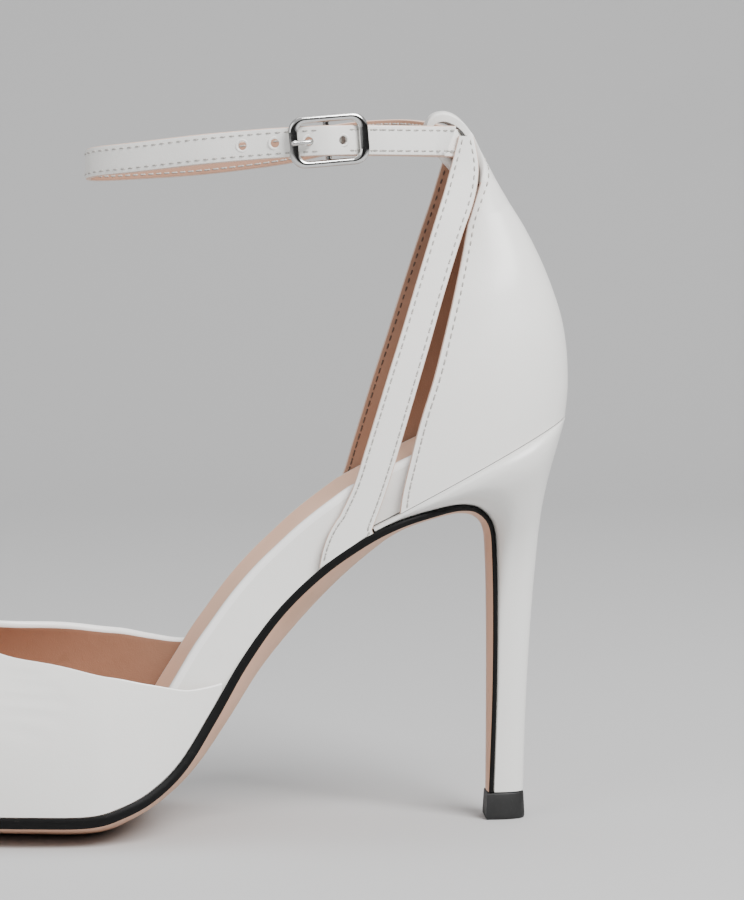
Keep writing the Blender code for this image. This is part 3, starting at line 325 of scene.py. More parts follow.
class Group:
    """A shader node group under construction, with named inputs and outputs."""

    def __init__(self, name: str, inputs: dict[str, float], outputs: Sequence[str]) -> None:
        """Starts the group.

        Args:
            name: the group's name.
            inputs: its float inputs and their usual values.
            outputs: the names of its float outputs.
        """
        self.tree = bpy.data.node_groups.new(name, "ShaderNodeTree")
        for label, value in inputs.items():
            socket = self.tree.interface.new_socket(label, in_out="INPUT", socket_type="NodeSocketFloat")
            socket.default_value = value
        for label in outputs:
            self.tree.interface.new_socket(label, in_out="OUTPUT", socket_type="NodeSocketFloat")
        self.inner = self.tree.nodes.new("NodeGroupInput")
        self.outer = self.tree.nodes.new("NodeGroupOutput")
        self.coordinates = self.tree.nodes.new("ShaderNodeTexCoord").outputs["Object"]

    def link(self, source: Socket, target: Socket) -> None:
        """Joins two sockets."""
        self.tree.links.new(source, target)

    def noise(self, scale: Socket | float, detail: float, roughness: float) -> Socket:
        """A noise over the object's own coordinates.

        Args:
            scale: its scale, as a number or a socket.
            detail: how many finer layers it has.
            roughness: how strong they are.

        Returns:
            Its value socket.
        """
        node = self.tree.nodes.new("ShaderNodeTexNoise")
        node.inputs["Detail"].default_value = detail
        node.inputs["Roughness"].default_value = roughness
        self.link(self.coordinates, node.inputs["Vector"])
        self.value(scale, node.inputs["Scale"])
        return node.outputs["Fac"]

    def value(self, source: Socket | float, target: Socket) -> None:
        """Sets a socket to a number or joins it to another."""
        if isinstance(source, (int, float)):
            target.default_value = source
        else:
            self.link(source, target)

    def math(self, operation: str, first: object, second: object = 0.0, clamp: bool = False) -> Socket:
        """A sum, product or other operation on two values.

        Args:
            operation: the operation's name.
            first: the first value or socket.
            second: the second value or socket.
            clamp: whether the result is kept between 0 and 1.

        Returns:
            The result's socket.
        """
        node = self.tree.nodes.new("ShaderNodeMath")
        node.operation = operation
        node.use_clamp = clamp
        self.value(first, node.inputs[0])
        self.value(second, node.inputs[1])
        return node.outputs[0]

    def step(self, source: Socket, low: float, high: float) -> Socket:
        """A smooth step of a value from 0 at low to 1 at high."""
        node = self.tree.nodes.new("ShaderNodeMapRange")
        node.interpolation_type = "SMOOTHSTEP"
        node.inputs["From Min"].default_value = low
        node.inputs["From Max"].default_value = high
        self.link(source, node.inputs["Value"])
        return node.outputs["Result"]


def leather_group() -> bpy.types.ShaderNodeTree:
    """Smooth coated leather: fine pores, faint stretch lines, soft cloudiness and a few rubbed places."""
    inputs = {"Pore Scale": 2600.0, "Pore Depth": 0.5, "Stretch": 0.5, "Smudge": 0.5, "Gloss": 0.34}
    group = Group("coated_leather", inputs, ("Height", "Cloud", "Rough"))
    ask = group.inner.outputs
    pores = group.tree.nodes.new("ShaderNodeTexVoronoi")
    pores.feature = "F1"
    group.link(group.coordinates, pores.inputs["Vector"])
    group.link(ask["Pore Scale"], pores.inputs["Scale"])
    grain = group.math("MULTIPLY", pores.outputs["Distance"], ask["Pore Depth"])
    stretch = group.noise(420.0, 3.0, 0.6)
    lines = group.math("MULTIPLY", group.step(stretch, 0.35, 0.75), ask["Stretch"])
    group.link(group.math("ADD", grain, lines), group.outer.inputs["Height"])
    cloud = group.step(group.noise(38.0, 4.0, 0.55), 0.40, 0.72)
    rubbed = group.step(group.noise(150.0, 5.0, 0.62), 0.62, 0.74)
    smudges = group.math("ADD", cloud, group.math("MULTIPLY", rubbed, 0.6))
    group.link(group.math("MULTIPLY", smudges, ask["Smudge"], True), group.outer.inputs["Cloud"])
    wave = group.math("MULTIPLY", group.noise(95.0, 5.0, 0.6), 0.16)
    shine = group.math("ADD", ask["Gloss"], group.math("ADD", wave, group.math("MULTIPLY", rubbed, 0.08)))
    group.link(shine, group.outer.inputs["Rough"])
    return group.tree


def wear_group() -> bpy.types.ShaderNodeTree:
    """Small chips, dust and a speckled bump, for painted edges, rubber and metal."""
    inputs = {"Chip Scale": 700.0, "Chip Share": 0.5, "Dust": 0.3}
    group = Group("edge_wear", inputs, ("Chips", "Dust", "Height"))
    ask = group.inner.outputs
    speck = group.noise(ask["Chip Scale"], 4.0, 0.65)
    chips = group.math("MULTIPLY", group.step(speck, 0.63, 0.70), ask["Chip Share"], True)
    group.link(chips, group.outer.inputs["Chips"])
    dust = group.math("MULTIPLY", group.step(group.noise(240.0, 6.0, 0.7), 0.45, 0.85), ask["Dust"], True)
    group.link(dust, group.outer.inputs["Dust"])
    group.link(group.math("SUBTRACT", speck, chips), group.outer.inputs["Height"])
    return group.tree


class Workshop:
    """Holds the shared shader groups and makes each finish's material once."""

    def __init__(self) -> None:
        """Builds the groups."""
        self.groups = {"leather": leather_group(), "wear": wear_group()}
        self.made: dict[str, bpy.types.Material] = {}

    def material(self, finish: Finish) -> bpy.types.Material:
        """The finish's material."""
        if finish.name not in self.made:
            material = bpy.data.materials.new(finish.name)
            material.use_nodes = True
            material.diffuse_color = (*finish.colour, 1.0)
            finish.lay(material.node_tree, material.node_tree.nodes["Principled BSDF"], self.groups)
            self.made[finish.name] = material
        return self.made[finish.name]


def place_group(tree: Tree, group: Tree, values: dict[str, float]) -> Node:
    """Puts a shared group into a material with its own values."""
    node = tree.nodes.new("ShaderNodeGroup")
    node.node_tree = group
    for label, value in values.items():
        node.inputs[label].default_value = value
    return node


def blend_colours(tree: Tree, mask: Socket, low: Colour, high: Colour) -> Node:
    """Mixes two colours by a mask, in a ramp.

    Args:
        tree: the material's tree.
        mask: a value from 0 to 1.
        low: the colour at 0.
        high: the colour at 1.

    Returns:
        The ramp node, whose Color output is the mix.
    """
    ramp = tree.nodes.new("ShaderNodeValToRGB")
    ramp.color_ramp.elements[0].color = (*low, 1.0)
    ramp.color_ramp.elements[1].color = (*high, 1.0)
    tree.links.new(mask, ramp.inputs["Fac"])
    return ramp


def add_bump(tree: Tree, height: Socket, shader: Node, strength: float, distance: float) -> None:
    """Feeds the shader's normal with a bump from a height.

    Args:
        tree: the material's tree.
        height: the height's socket.
        shader: the shader node.
        strength: how strong it is.
        distance: its depth in metres.
    """
    bump = tree.nodes.new("ShaderNodeBump")
    bump.inputs["Strength"].default_value = strength
    bump.inputs["Distance"].default_value = distance
    tree.links.new(height, bump.inputs["Height"])
    tree.links.new(bump.outputs["Normal"], shader.inputs["Normal"])


@dataclass(frozen=True)
class Finish:
    """The look of a surface."""

    name: str
    colour: Colour

    def lay(self, tree: Tree, shader: Node, groups: dict[str, Tree]) -> None:
        """Fills a new material's tree."""
        raise NotImplementedError


@dataclass(frozen=True)
class Leather(Finish):
    """Smooth leather: coated outside, or the softer lining."""

    shade: Colour = (0.60, 0.585, 0.56)
    gloss: float = 0.34
    coat: float = 0.25
    coat_roughness: float = 0.22
    pore_scale: float = 2600.0
    pore_depth: float = 0.5
    stretch: float = 0.4
    smudge: float = 0.35
    depth: float = 0.00006
    bump: float = 0.5

    def lay(self, tree: Tree, shader: Node, groups: dict[str, Tree]) -> None:
        """Fills a new material's tree."""
        skin = place_group(tree, groups["leather"], {
            "Pore Scale": self.pore_scale, "Pore Depth": self.pore_depth, "Stretch": self.stretch,
            "Smudge": self.smudge, "Gloss": self.gloss,
        })
        ramp = blend_colours(tree, skin.outputs["Cloud"], self.colour, self.shade)
        tree.links.new(ramp.outputs["Color"], shader.inputs["Base Color"])
        tree.links.new(skin.outputs["Rough"], shader.inputs["Roughness"])
        add_bump(tree, skin.outputs["Height"], shader, self.bump, self.depth)
        shader.inputs["Coat Weight"].default_value = self.coat
        shader.inputs["Coat Roughness"].default_value = self.coat_roughness


@dataclass(frozen=True)
class Worn(Finish):
    """Paint, rubber, thread or metal with small chips and dust."""

    chip: Colour = (0.20, 0.17, 0.15)
    roughness: float = 0.4
    metallic: float = 0.0
    specular: float = 0.5
    chip_scale: float = 700.0
    chip_share: float = 0.5
    dust: float = 0.3
    dulled: float = 0.35
    depth: float = 0.00005
    bump: float = 0.4

    def lay(self, tree: Tree, shader: Node, groups: dict[str, Tree]) -> None:
        """Fills a new material's tree."""
        wear = place_group(tree, groups["wear"], {
            "Chip Scale": self.chip_scale, "Chip Share": self.chip_share, "Dust": self.dust,
        })
        ramp = blend_colours(tree, wear.outputs["Chips"], self.colour, self.chip)
        tree.links.new(ramp.outputs["Color"], shader.inputs["Base Color"])
        rough = tree.nodes.new("ShaderNodeMapRange")
        rough.inputs["To Min"].default_value = self.roughness
        rough.inputs["To Max"].default_value = min(1.0, self.roughness + self.dulled)
        tree.links.new(wear.outputs["Dust"], rough.inputs["Value"])
        tree.links.new(rough.outputs["Result"], shader.inputs["Roughness"])
        add_bump(tree, wear.outputs["Height"], shader, self.bump, self.depth)
        shader.inputs["Metallic"].default_value = self.metallic
        shader.inputs["Specular IOR Level"].default_value = self.specular


OUTER = Leather("white_leather", (0.84, 0.83, 0.80), (0.80, 0.785, 0.75))
# Painted highlight: the folded edges of the vamp's topline and the insole's wrap are a brighter white than
# the leather, standing in for the light they catch.
FOLDED_EDGE_HIGHLIGHT = Leather("folded_edge", (0.95, 0.94, 0.92), (0.91, 0.90, 0.87), gloss=0.30, coat=0.35)
HEEL_COVER = Leather("heel_cover_leather", (0.80, 0.795, 0.77), (0.76, 0.75, 0.72), gloss=0.30, coat=0.3)
LINING = Leather(
    "tan_lining", (0.40, 0.215, 0.14), (0.34, 0.18, 0.112), gloss=0.52, coat=0.0, pore_scale=3200.0,
    pore_depth=0.7, stretch=0.7, smudge=0.6, depth=0.00009,
)
SOCK = Leather(
    "blush_sock", (0.86, 0.545, 0.385), (0.80, 0.48, 0.33), gloss=0.62, coat=0.0, pore_depth=0.6,
    stretch=0.5, smudge=0.5, depth=0.00007,
)
SOLE_SKIN = Leather(
    "tan_sole", (0.66, 0.40, 0.275), (0.55, 0.325, 0.215), gloss=0.50, coat=0.05, pore_scale=1800.0,
    pore_depth=0.5, stretch=0.9, smudge=0.8, depth=0.00008,
)
RAW_EDGE = Worn("raw_edge", (0.68, 0.50, 0.41), (0.56, 0.37, 0.28), roughness=0.75, chip_scale=2200.0,
                chip_share=0.9, dust=0.2, depth=0.0001)
EDGE_PAINT = Worn("black_edge_paint", (0.004, 0.004, 0.004), (0.022, 0.019, 0.016), roughness=0.42,
                  specular=0.16, chip_scale=900.0, chip_share=0.7, dust=0.5, depth=0.00008)
RUBBER = Worn("black_rubber", (0.007, 0.007, 0.007), (0.026, 0.026, 0.026), roughness=0.55, chip_scale=1500.0,
              chip_share=0.5, dust=0.6, depth=0.0001)
CHROME = Worn("chrome", (0.60, 0.60, 0.59), (0.42, 0.42, 0.41), roughness=0.08, metallic=1.0,
              chip_scale=1400.0, chip_share=0.35, dust=0.3, depth=0.00001)
BOBBIN = Worn("bobbin_thread", (0.11, 0.075, 0.055), (0.07, 0.05, 0.035), roughness=0.7, chip_scale=5000.0,
              chip_share=0.7, dust=0.2, depth=0.00005)
# Painted shade: the stitching thread's grey is darkened past its own colour for the shade along the sunken
# stitch rows.
SHADED_THREAD = Worn("thread", (0.37, 0.355, 0.33), (0.27, 0.255, 0.235), roughness=0.6, chip_scale=5000.0,
              chip_share=0.7, dust=0.2, depth=0.00005)
# Painted shade: grey beads between the stitches stand for the shadow inside the needle holes.
NEEDLE_HOLE_SHADE = Worn("needle_hole", (0.52, 0.49, 0.46), (0.40, 0.37, 0.34), roughness=0.9, chip_scale=3000.0,
              chip_share=0.5, dust=0.2, depth=0.00002)
STUDIO = Worn("studio_paper", (0.50, 0.50, 0.50), (0.485, 0.485, 0.485), roughness=0.85, chip_scale=6.0,
              chip_share=0.3, dust=0.1, depth=0.0)


class Bench:
    """Makes mesh objects and registers them with the frame."""

    def __init__(self, workshop: Workshop) -> None:
        """Keeps the workshop whose materials it uses."""
        self.workshop = workshop

    def loft(self, name: str, rings: np.ndarray, slots: np.ndarray, finishes: Sequence[Finish],
             sharp: float = SHARP_EDGE, closed: bool = False) -> bpy.types.Object:
        """A closed skin through rings of points.

        Args:
            name: the object's name.
            rings: the rings, each with the same number of points.
            slots: for each point of a ring, or each ring and point, the finish of the face after it.
            finishes: the finishes.
            sharp: the angle in degrees past which an edge is drawn sharp.
            closed: whether the last ring joins the first; otherwise both ends are capped.

        Returns:
            The object.
        """
        rings = np.asarray(rings, float)
        count, size = rings.shape[:2]
        slots = np.broadcast_to(slots, (count, size))
        faces, marks = [], []
        for ring in range(count if closed else count - 1):
            upper = (ring + 1) % count
            for here in range(size):
                after = (here + 1) % size
                low, high = ring * size, upper * size
                faces.append((low + here, low + after, high + after, high + here))
                marks.append(int(slots[ring, here]))
        if not closed:
            faces.append(tuple(reversed(range(size))))
            faces.append(tuple(range((count - 1) * size, count * size)))
            marks += [int(slots[0, 0]), int(slots[-1, 0])]
        data = bpy.data.meshes.new(name)
        data.from_pydata(rings.reshape(-1, 3).tolist(), [], faces)
        data.polygons.foreach_set("material_index", marks)
        mesh = bmesh.new()
        mesh.from_mesh(data)
        bmesh.ops.remove_doubles(mesh, verts=mesh.verts, dist=1e-6)
        bmesh.ops.dissolve_degenerate(mesh, edges=mesh.edges, dist=1e-7)
        bmesh.ops.recalc_face_normals(mesh, faces=mesh.faces)
        mesh.to_mesh(data)
        mesh.free()
        return self.object(name, data, finishes, sharp)

    def object(self, name: str, data: bpy.types.Mesh, finishes: Sequence[Finish],
               sharp: float) -> bpy.types.Object:
        """Wraps a mesh in an object with its materials."""
        data.shade_smooth()
        data.set_sharp_from_angle(angle=math.radians(sharp))
        for finish in finishes:
            data.materials.append(self.workshop.material(finish))
        made = bpy.data.objects.new(name, data)
        bpy.context.scene.collection.objects.link(made)
        return made

    def cut(self, piece: bpy.types.Object, cutters: Sequence[bpy.types.Mesh]) -> None:
        """Cuts holes through a piece and applies them.

        Args:
            piece: the piece.
            cutters: closed meshes already in place.
        """
        for index, data in enumerate(cutters):
            cutter = bpy.data.objects.new(f"{piece.name}_cutter_{index}", data)
            bpy.context.scene.collection.objects.link(cutter)
            modifier = piece.modifiers.new("cut", "BOOLEAN")
            modifier.object = cutter
            modifier.solver = "EXACT"
        shaped = bpy.data.meshes.new_from_object(piece.evaluated_get(bpy.context.evaluated_depsgraph_get()))
        cutters_made = [modifier.object for modifier in piece.modifiers]
        piece.modifiers.clear()
        piece.data = shaped
        shaped.set_sharp_from_angle(angle=math.radians(SHARP_EDGE))
        for cutter in cutters_made:
            bpy.data.objects.remove(cutter, do_unlink=True)

    def deliver(self, piece: bpy.types.Object, *nodes: str) -> None:
        """Rides a finished piece on the shoe's one body, in place of its CAD nodes."""
        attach(piece, "root")
        if nodes:
            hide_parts(*nodes)
        log.info("%s: %d faces", piece.name, len(piece.data.polygons))


class StitchTree:
    """A Geometry Nodes tree that sews evenly spaced stitches, or beads of painted shade at their needle
    holes, along lines.
    """

    def __init__(self) -> None:
        """Builds the tree."""
        tree = bpy.data.node_groups.new("sewn_row", "GeometryNodeTree")
        make = tree.interface.new_socket
        make("Geometry", in_out="INPUT", socket_type="NodeSocketGeometry")
        self.inputs = {}
        for label, value in (("Pitch", 0.003), ("Length", 0.0022), ("Radius", 0.0002), ("Offset", 0.0)):
            socket = make(label, in_out="INPUT", socket_type="NodeSocketFloat")
            socket.default_value = value
            self.inputs[label] = socket.identifier
        socket = make("Thread", in_out="INPUT", socket_type="NodeSocketMaterial")
        self.inputs["Thread"] = socket.identifier
        make("Geometry", in_out="OUTPUT", socket_type="NodeSocketGeometry")
        self.tree = tree
        node, link = tree.nodes.new, tree.links.new
        start, end = node("NodeGroupInput"), node("NodeGroupOutput")
        curve = node("GeometryNodeMeshToCurve")
        trim = node("GeometryNodeTrimCurve")
        trim.mode = "LENGTH"
        trim_start, trim_end = trim.inputs[4], trim.inputs[5]
        trim_end.default_value = 10.0
        spaced = node("GeometryNodeResampleCurve")
        spaced.mode = "LENGTH"
        tangent = node("GeometryNodeInputTangent")
        turn = node("FunctionNodeAlignRotationToVector")
        turn.axis = "X"
        bead = node("GeometryNodeMeshUVSphere")
        bead.inputs["Segments"].default_value = 8
        bead.inputs["Rings"].default_value = 6
        bead.inputs["Radius"].default_value = 0.5
        size = node("ShaderNodeCombineXYZ")
        across = node("ShaderNodeMath")
        across.operation = "MULTIPLY"
        across.inputs[1].default_value = 2.0
        place = node("GeometryNodeInstanceOnPoints")
        whole = node("GeometryNodeRealizeInstances")
        smooth = node("GeometryNodeSetShadeSmooth")
        paint = node("GeometryNodeSetMaterial")
        link(start.outputs["Geometry"], curve.inputs["Mesh"])
        link(curve.outputs["Curve"], trim.inputs["Curve"])
        link(start.outputs["Offset"], trim_start)
        link(trim.outputs["Curve"], spaced.inputs["Curve"])
        link(start.outputs["Pitch"], spaced.inputs["Length"])
        link(spaced.outputs["Curve"], place.inputs["Points"])
        link(bead.outputs["Mesh"], place.inputs["Instance"])
        link(tangent.outputs["Tangent"], turn.inputs["Vector"])
        link(turn.outputs["Rotation"], place.inputs["Rotation"])
        link(start.outputs["Radius"], across.inputs[0])
        link(start.outputs["Length"], size.inputs["X"])
        link(across.outputs[0], size.inputs["Y"])
        link(across.outputs[0], size.inputs["Z"])
        link(size.outputs[0], place.inputs["Scale"])
        link(place.outputs["Instances"], whole.inputs["Geometry"])
        link(whole.outputs["Geometry"], smooth.inputs["Geometry"])
        link(smooth.outputs["Geometry"], paint.inputs["Geometry"])
        link(start.outputs["Thread"], paint.inputs["Material"])
        link(paint.outputs["Geometry"], end.inputs["Geometry"])

    def sew(self, bench: Bench, name: str, lines: Sequence[np.ndarray], finish: Finish, pitch: float,
            length: float, radius: float, offset: float) -> bpy.types.Object:
        """Sews rows of stitches.

        Args:
            bench: where the piece is made.
            name: the piece's name.
            lines: the rows' lines.
            finish: the thread's finish.
            pitch: from one stitch to the next.
            length: of each stitch.
            radius: of the thread.
            offset: where the first stitch lies along the line.

        Returns:
            The rows as one mesh object.
        """
        points, edges = [], []
        for line in lines:
            first = len(points)
            points += [tuple(point) for point in line]
            edges += [(first + at, first + at + 1) for at in range(len(line) - 1)]
        data = bpy.data.meshes.new(name)
        data.from_pydata(points, edges, [])
        made = bpy.data.objects.new(name, data)
        bpy.context.scene.collection.objects.link(made)
        modifier = made.modifiers.new("sewn_row", "NODES")
        modifier.node_group = self.tree
        values = {"Pitch": pitch, "Length": length, "Radius": radius, "Offset": offset}
        for label, value in values.items():
            modifier[self.inputs[label]] = value
        modifier[self.inputs["Thread"]] = bench.workshop.material(finish)
        sewn = bpy.data.meshes.new_from_object(made.evaluated_get(bpy.context.evaluated_depsgraph_get()))
        made.modifiers.clear()
        made.data = sewn
        return made


@dataclass(frozen=True)
class Sewing:
    """A seam's thread and spacing."""

    tree: StitchTree
    pitch: float = 0.0023
    length: float = 0.0015
    radius: float = 0.00022
    hole_length: float = 0.0007
    hole_radius: float = 0.00024
    outer_lift: float = 0.00004
    lining_lift: float = 0.00002

    def rows(self, bench: Bench, name: str, lines: Sequence[np.ndarray], yarn: Worn = SHADED_THREAD) -> None:
        """Sews rows: the thread, and grey beads of painted shade at the needle holes between its stitches."""
        # With the white thread, the holes get the painted shade of needle holes; dark yarns give their own
        # colour.
        shade = NEEDLE_HOLE_SHADE if yarn is SHADED_THREAD else yarn
        thread = self.tree.sew(bench, name, lines, yarn, self.pitch, self.length, self.radius, 0.0)
        holes = self.tree.sew(bench, f"{name}_holes", lines, shade, self.pitch, self.hole_length,
                              self.hole_radius, self.pitch / 2)
        for piece in (thread, holes):
            bench.deliver(piece)


def rim(first: np.ndarray, second: np.ndarray, away: np.ndarray, points: int, swell: float) -> list:
    """Points of a rounded rim from one face of a wall to the other.

    Args:
        first: the outer face's last point.
        second: the inner face's last point.
        away: the direction that the rim swells to.
        points: how many points it has.
        swell: how round it is, from 0 to 1.

    Returns:
        The points.
    """
    middle, half = (first + second) / 2, (first - second) / 2
    reach = np.linalg.norm(half) * swell
    angles = np.linspace(0, math.pi, points + 2)[1:-1]
    return [middle + half * math.cos(a) + away * reach * math.sin(a) for a in angles]


def strap_section(width: float, thickness: float) -> tuple[np.ndarray, np.ndarray]:
    """A strap's section with rounded edges and a slightly crowned outer face.

    Args:
        width: the strap's width.
        thickness: the strap's thickness.

    Returns:
        Points as across and out, and for each the slot of the face after it: 0 outer, 1 edge, 2 lining.
    """
    radius = 0.33 * thickness
    flat = width / 2 - radius
    face = np.linspace(-1, 1, 9)
    crown, sink = 0.00010, 0.00004
    crowned = thickness / 2 + crown * (1 - face**4) - sink

    def rounded(corners: Table) -> list[tuple[float, float]]:
        """Points round two corners, each given as its first angle and its side across and out."""
        return [
            (x * flat + radius * math.cos(turn), y * (thickness / 2 - radius) + radius * math.sin(turn))
            for start, x, y in corners
            for turn in (math.radians(start - step) for step in (30, 60, 90))
        ]

    points = [(x * flat, y) for x, y in zip(face, crowned)]
    points += rounded(((90, 1, 1), (0, 1, -1)))
    points += [(x * flat, -thickness / 2) for x in np.linspace(0.6, -1, 5)]
    points += rounded(((270, -1, -1), (180, -1, 1)))[:-1]
    slots = [0] * 9 + [1] * 4 + [2] * 7 + [1] * 4 + [0]
    return np.array(points), np.array(slots)


@dataclass(frozen=True)
class Bottom:
    """The outsole, the insole, the heel and the top piece.

    The insole's beds hold: the sole's row, thickness, how far it stands in. Its seats hold: share of the
    way back, thickness. The heel's rows hold: back, height, the sole's row, width, where it is widest.
    """

    last: Last
    insole: float = 0.0113
    margin: float = 0.0005
    tuck_lateral: float = 0.0009
    tuck_medial: float = 0.0018
    lip: float = 0.0001
    edge_round: float = 0.00035
    tuck_run: float = 6.0
    lift_widest: float = 0.9
    beds: Table = (
        (2.0, 0.20, 1.75), (2.6, 0.21, 1.50), (4.0, 0.24, 1.08), (5.5, 0.25, 1.0), (7.0, 0.27, 1.0),
        (8.2, 0.31, 1.0), (9.2, 0.40, 1.0), (10.0, 0.55, 1.0), (10.8, 0.75, 1.0), (11.6, 0.92, 1.0),
        (12.4, 1.02, 1.0), (13.0, 1.04, 1.0), (13.5, 1.03, 0.80), (13.8, 1.02, 0.62), (14.2, 1.00, 0.42),
        (14.8, 1.00, 0.30), (15.4, 1.00, 0.60), (15.8, 1.00, 0.85), (16.4, 1.04, 1.05), (16.9, 1.08, 1.20),
        (17.27, 1.12, 1.35),
    )
    seats: Table = (
        (-0.012, 1.03), (0.14, 1.02), (0.30, 1.0), (0.48, 0.96), (0.66, 0.90), (0.80, 0.86), (0.90, 0.82),
        (0.95, 0.78), (0.974, 0.70),
    )
    heels: Table = (
        (0.330, 0.000, 26.0, 0.088, 0.92), (0.355, 0.170, 25.35, 0.091, 0.90),
        (0.390, 0.300, 24.85, 0.098, 0.88), (0.435, 0.430, 24.20, 0.108, 0.84),
        (0.485, 0.540, 23.70, 0.124, 0.78), (0.535, 0.635, 23.25, 0.155, 0.72),
        (0.580, 0.712, 22.75, 0.205, 0.66), (0.645, 0.786, 22.25, 0.270, 0.62),
        (0.745, 0.860, 21.55, 0.345, 0.62), (0.860, 0.925, 20.70, 0.415, 0.64),
        (0.945, 0.970, 19.60, 0.460, 0.70), (0.988, 0.992, 18.50, 0.485, 0.80),
        (0.996, 0.997, 17.95, 0.488, 0.84),
    )

    def build(self, bench: Bench) -> None:
        """Builds the four pieces."""
        bench.deliver(self.outsole(bench), "outsole")
        bench.deliver(self.board(bench), "insole")
        bench.deliver(self.heel(bench), "heel")
        bench.deliver(self.lift(bench), "top_piece")

    def outsole(self, bench: Bench) -> bpy.types.Object:
        """The sole's sheet, with its painted edge."""
        last, across = self.last, np.sin(np.radians(np.linspace(90, -90, 25)))
        end = len(last.sole) - 1
        tip, foot, breast = [0.08, 0.2, 0.4, 0.7], np.arange(1.0, 17.0, 0.16), np.arange(17.0, end, 0.12)
        rows = np.concatenate([tip, foot, breast, [end]])
        rings, marks = [], []
        for row in rows:
            edge = float(between(last.rows[:, 5], row))
            top = [last.sole_point(row, x, 0.0) for x in across]
            bottom = [last.sole_point(row, x, -edge) for x in across[::-1]]
            for point in bottom:
                point[2] = max(point[2], 0.0)
            sides = []
            for high, low, out in ((top[-1], bottom[0], -1), (bottom[-1], top[0], 1)):
                swell = np.array([0, out * self.edge_round, 0])
                sides.append([
                    high + (low - high) * share + swell * math.sin(math.pi * share)
                    for share in (0.12, 0.35, 0.65, 0.88)
                ])
            rings.append(top + sides[0] + bottom + sides[1])
            marks.append([2] * 24 + [0] * 5 + [1] * 24 + [0] * 5)
        return bench.loft("outsole_dressed", np.array(rings), np.array(marks), (EDGE_PAINT, SOLE_SKIN, OUTER))

    def board(self, bench: Bench) -> bpy.types.Object:
        """The wrapped insole: white sides that turn over its edge, the turn painted brighter as a highlight,
        and the sock on top.
        """
        last, clear = self.last, self.last.clear
        under = (1.0, 0.6, 0.34, 0.0, -0.34, -0.6, -1.0)
        over = np.array([-1.0, -0.995, -0.975, -0.94, -0.90, -0.86, -0.6, -0.3, 0.0])
        over = np.concatenate([over, -over[-2::-1]])
        drops = np.array([0.16, 0.07, 0.02, 0.0, 0.0, 0.004, 0.03, 0.045, 0.05])
        drops = np.concatenate([drops, drops[-2::-1]])
        # The turned edges take the brighter finish, a painted highlight.
        slots = [0] * 7 + [2] * 4 + [1] * 8 + [2] * 4 + [0]
        rings = []
        for at in row_stops(self.beds, 6):
            row, thick, covered = between(self.beds, at)
            here = between(last.rows, row)
            half = (here[2] - here[3]) / 2
            narrow = (half - self.margin - covered * (last.wall + 2 * clear - self.margin)) / half
            ring = [last.sole_point(row, x * narrow, clear) for x in under]
            ring += [
                last.sole_point(row, x * narrow, thick * self.insole * (1 - drop) + clear, flat=1.0)
                for x, drop in zip(over, drops)
            ]
            rings.append(ring)
        front, back = last.seat_front, last.seat_back
        lean = math.atan2(back[1] - front[1], front[0] - back[0])
        up = np.array([math.sin(lean), math.cos(lean)])
        heel_in = last.counter_foot[0] * last.length
        tuck_stops = [heel_in - self.tuck_run * last.wall, heel_in, front[0]]
        for at in row_stops(self.seats, 6):
            share, thick = between(self.seats, at)
            ahead = front[0] - share * (front[0] + last.seat_reach)
            foot = np.array([ahead, last.seat_height(ahead)]) + up * clear
            reach = float(np.interp(ahead, tuck_stops, [0, 1, 1]))
            tucks = {Side.LATERAL: self.tuck_lateral * reach, Side.MEDIAL: self.tuck_medial * reach}
            halves = [last.seat_half(ahead, side, last.wall + 2 * clear + tucks[side]) for side in Side]
            middle, half = (halves[0] - halves[1]) / 2, (halves[0] + halves[1]) / 2
            ring = [[foot[0], middle + half * x, foot[1]] for x in under]
            for x, drop in zip(over, drops):
                lifted = foot + up * thick * self.insole * (1 - drop)
                ring.append([lifted[0], middle + half * x, lifted[1]])
            rings.append(ring)
        return bench.loft("insole_dressed", np.array(rings), np.array(slots), (OUTER, SOCK, FOLDED_EDGE_HIGHLIGHT))

    def round_stops(self) -> np.ndarray:
        """Shares of the way from the back of a heel section to its front."""
        return (1 - np.cos(np.radians(np.linspace(0, 172, 34)))) / 2

    def bulge(self, share: float, widest: float, half: float, front_half: float) -> float:
        """Half the width of a heel section at a share of the way from its back to its front."""
        if share <= widest:
            return half * arch((widest - share) / widest, self.last.seat_power)
        ahead = (share - widest) / (1 - widest)
        return front_half + (half - front_half) * math.sqrt(max(0.0, 1 - ahead**2))

    def ring(self, back: Sequence[float], front: Sequence[np.ndarray],
             halves: Callable[[float, int], float]) -> list:
        """One section: along its front from the lateral corner to the medial one, then round its back.

        Args:
            back: the back's place, as ahead and height.
            front: the points of its front edge.
            halves: half its width at a share of the way forward, on a side.

        Returns:
            The ring's points.
        """
        ring = [list(point) for point in front]
        shares = self.round_stops()
        for side, corner, order in ((-1, front[-1], shares[::-1]), (1, front[0], shares[1:])):
            for share in order:
                ahead = back[0] + (corner[0] - back[0]) * share
                height = back[1] + (corner[2] - back[1]) * share
                ring.append([ahead, side * halves(share, side), height])
        return ring

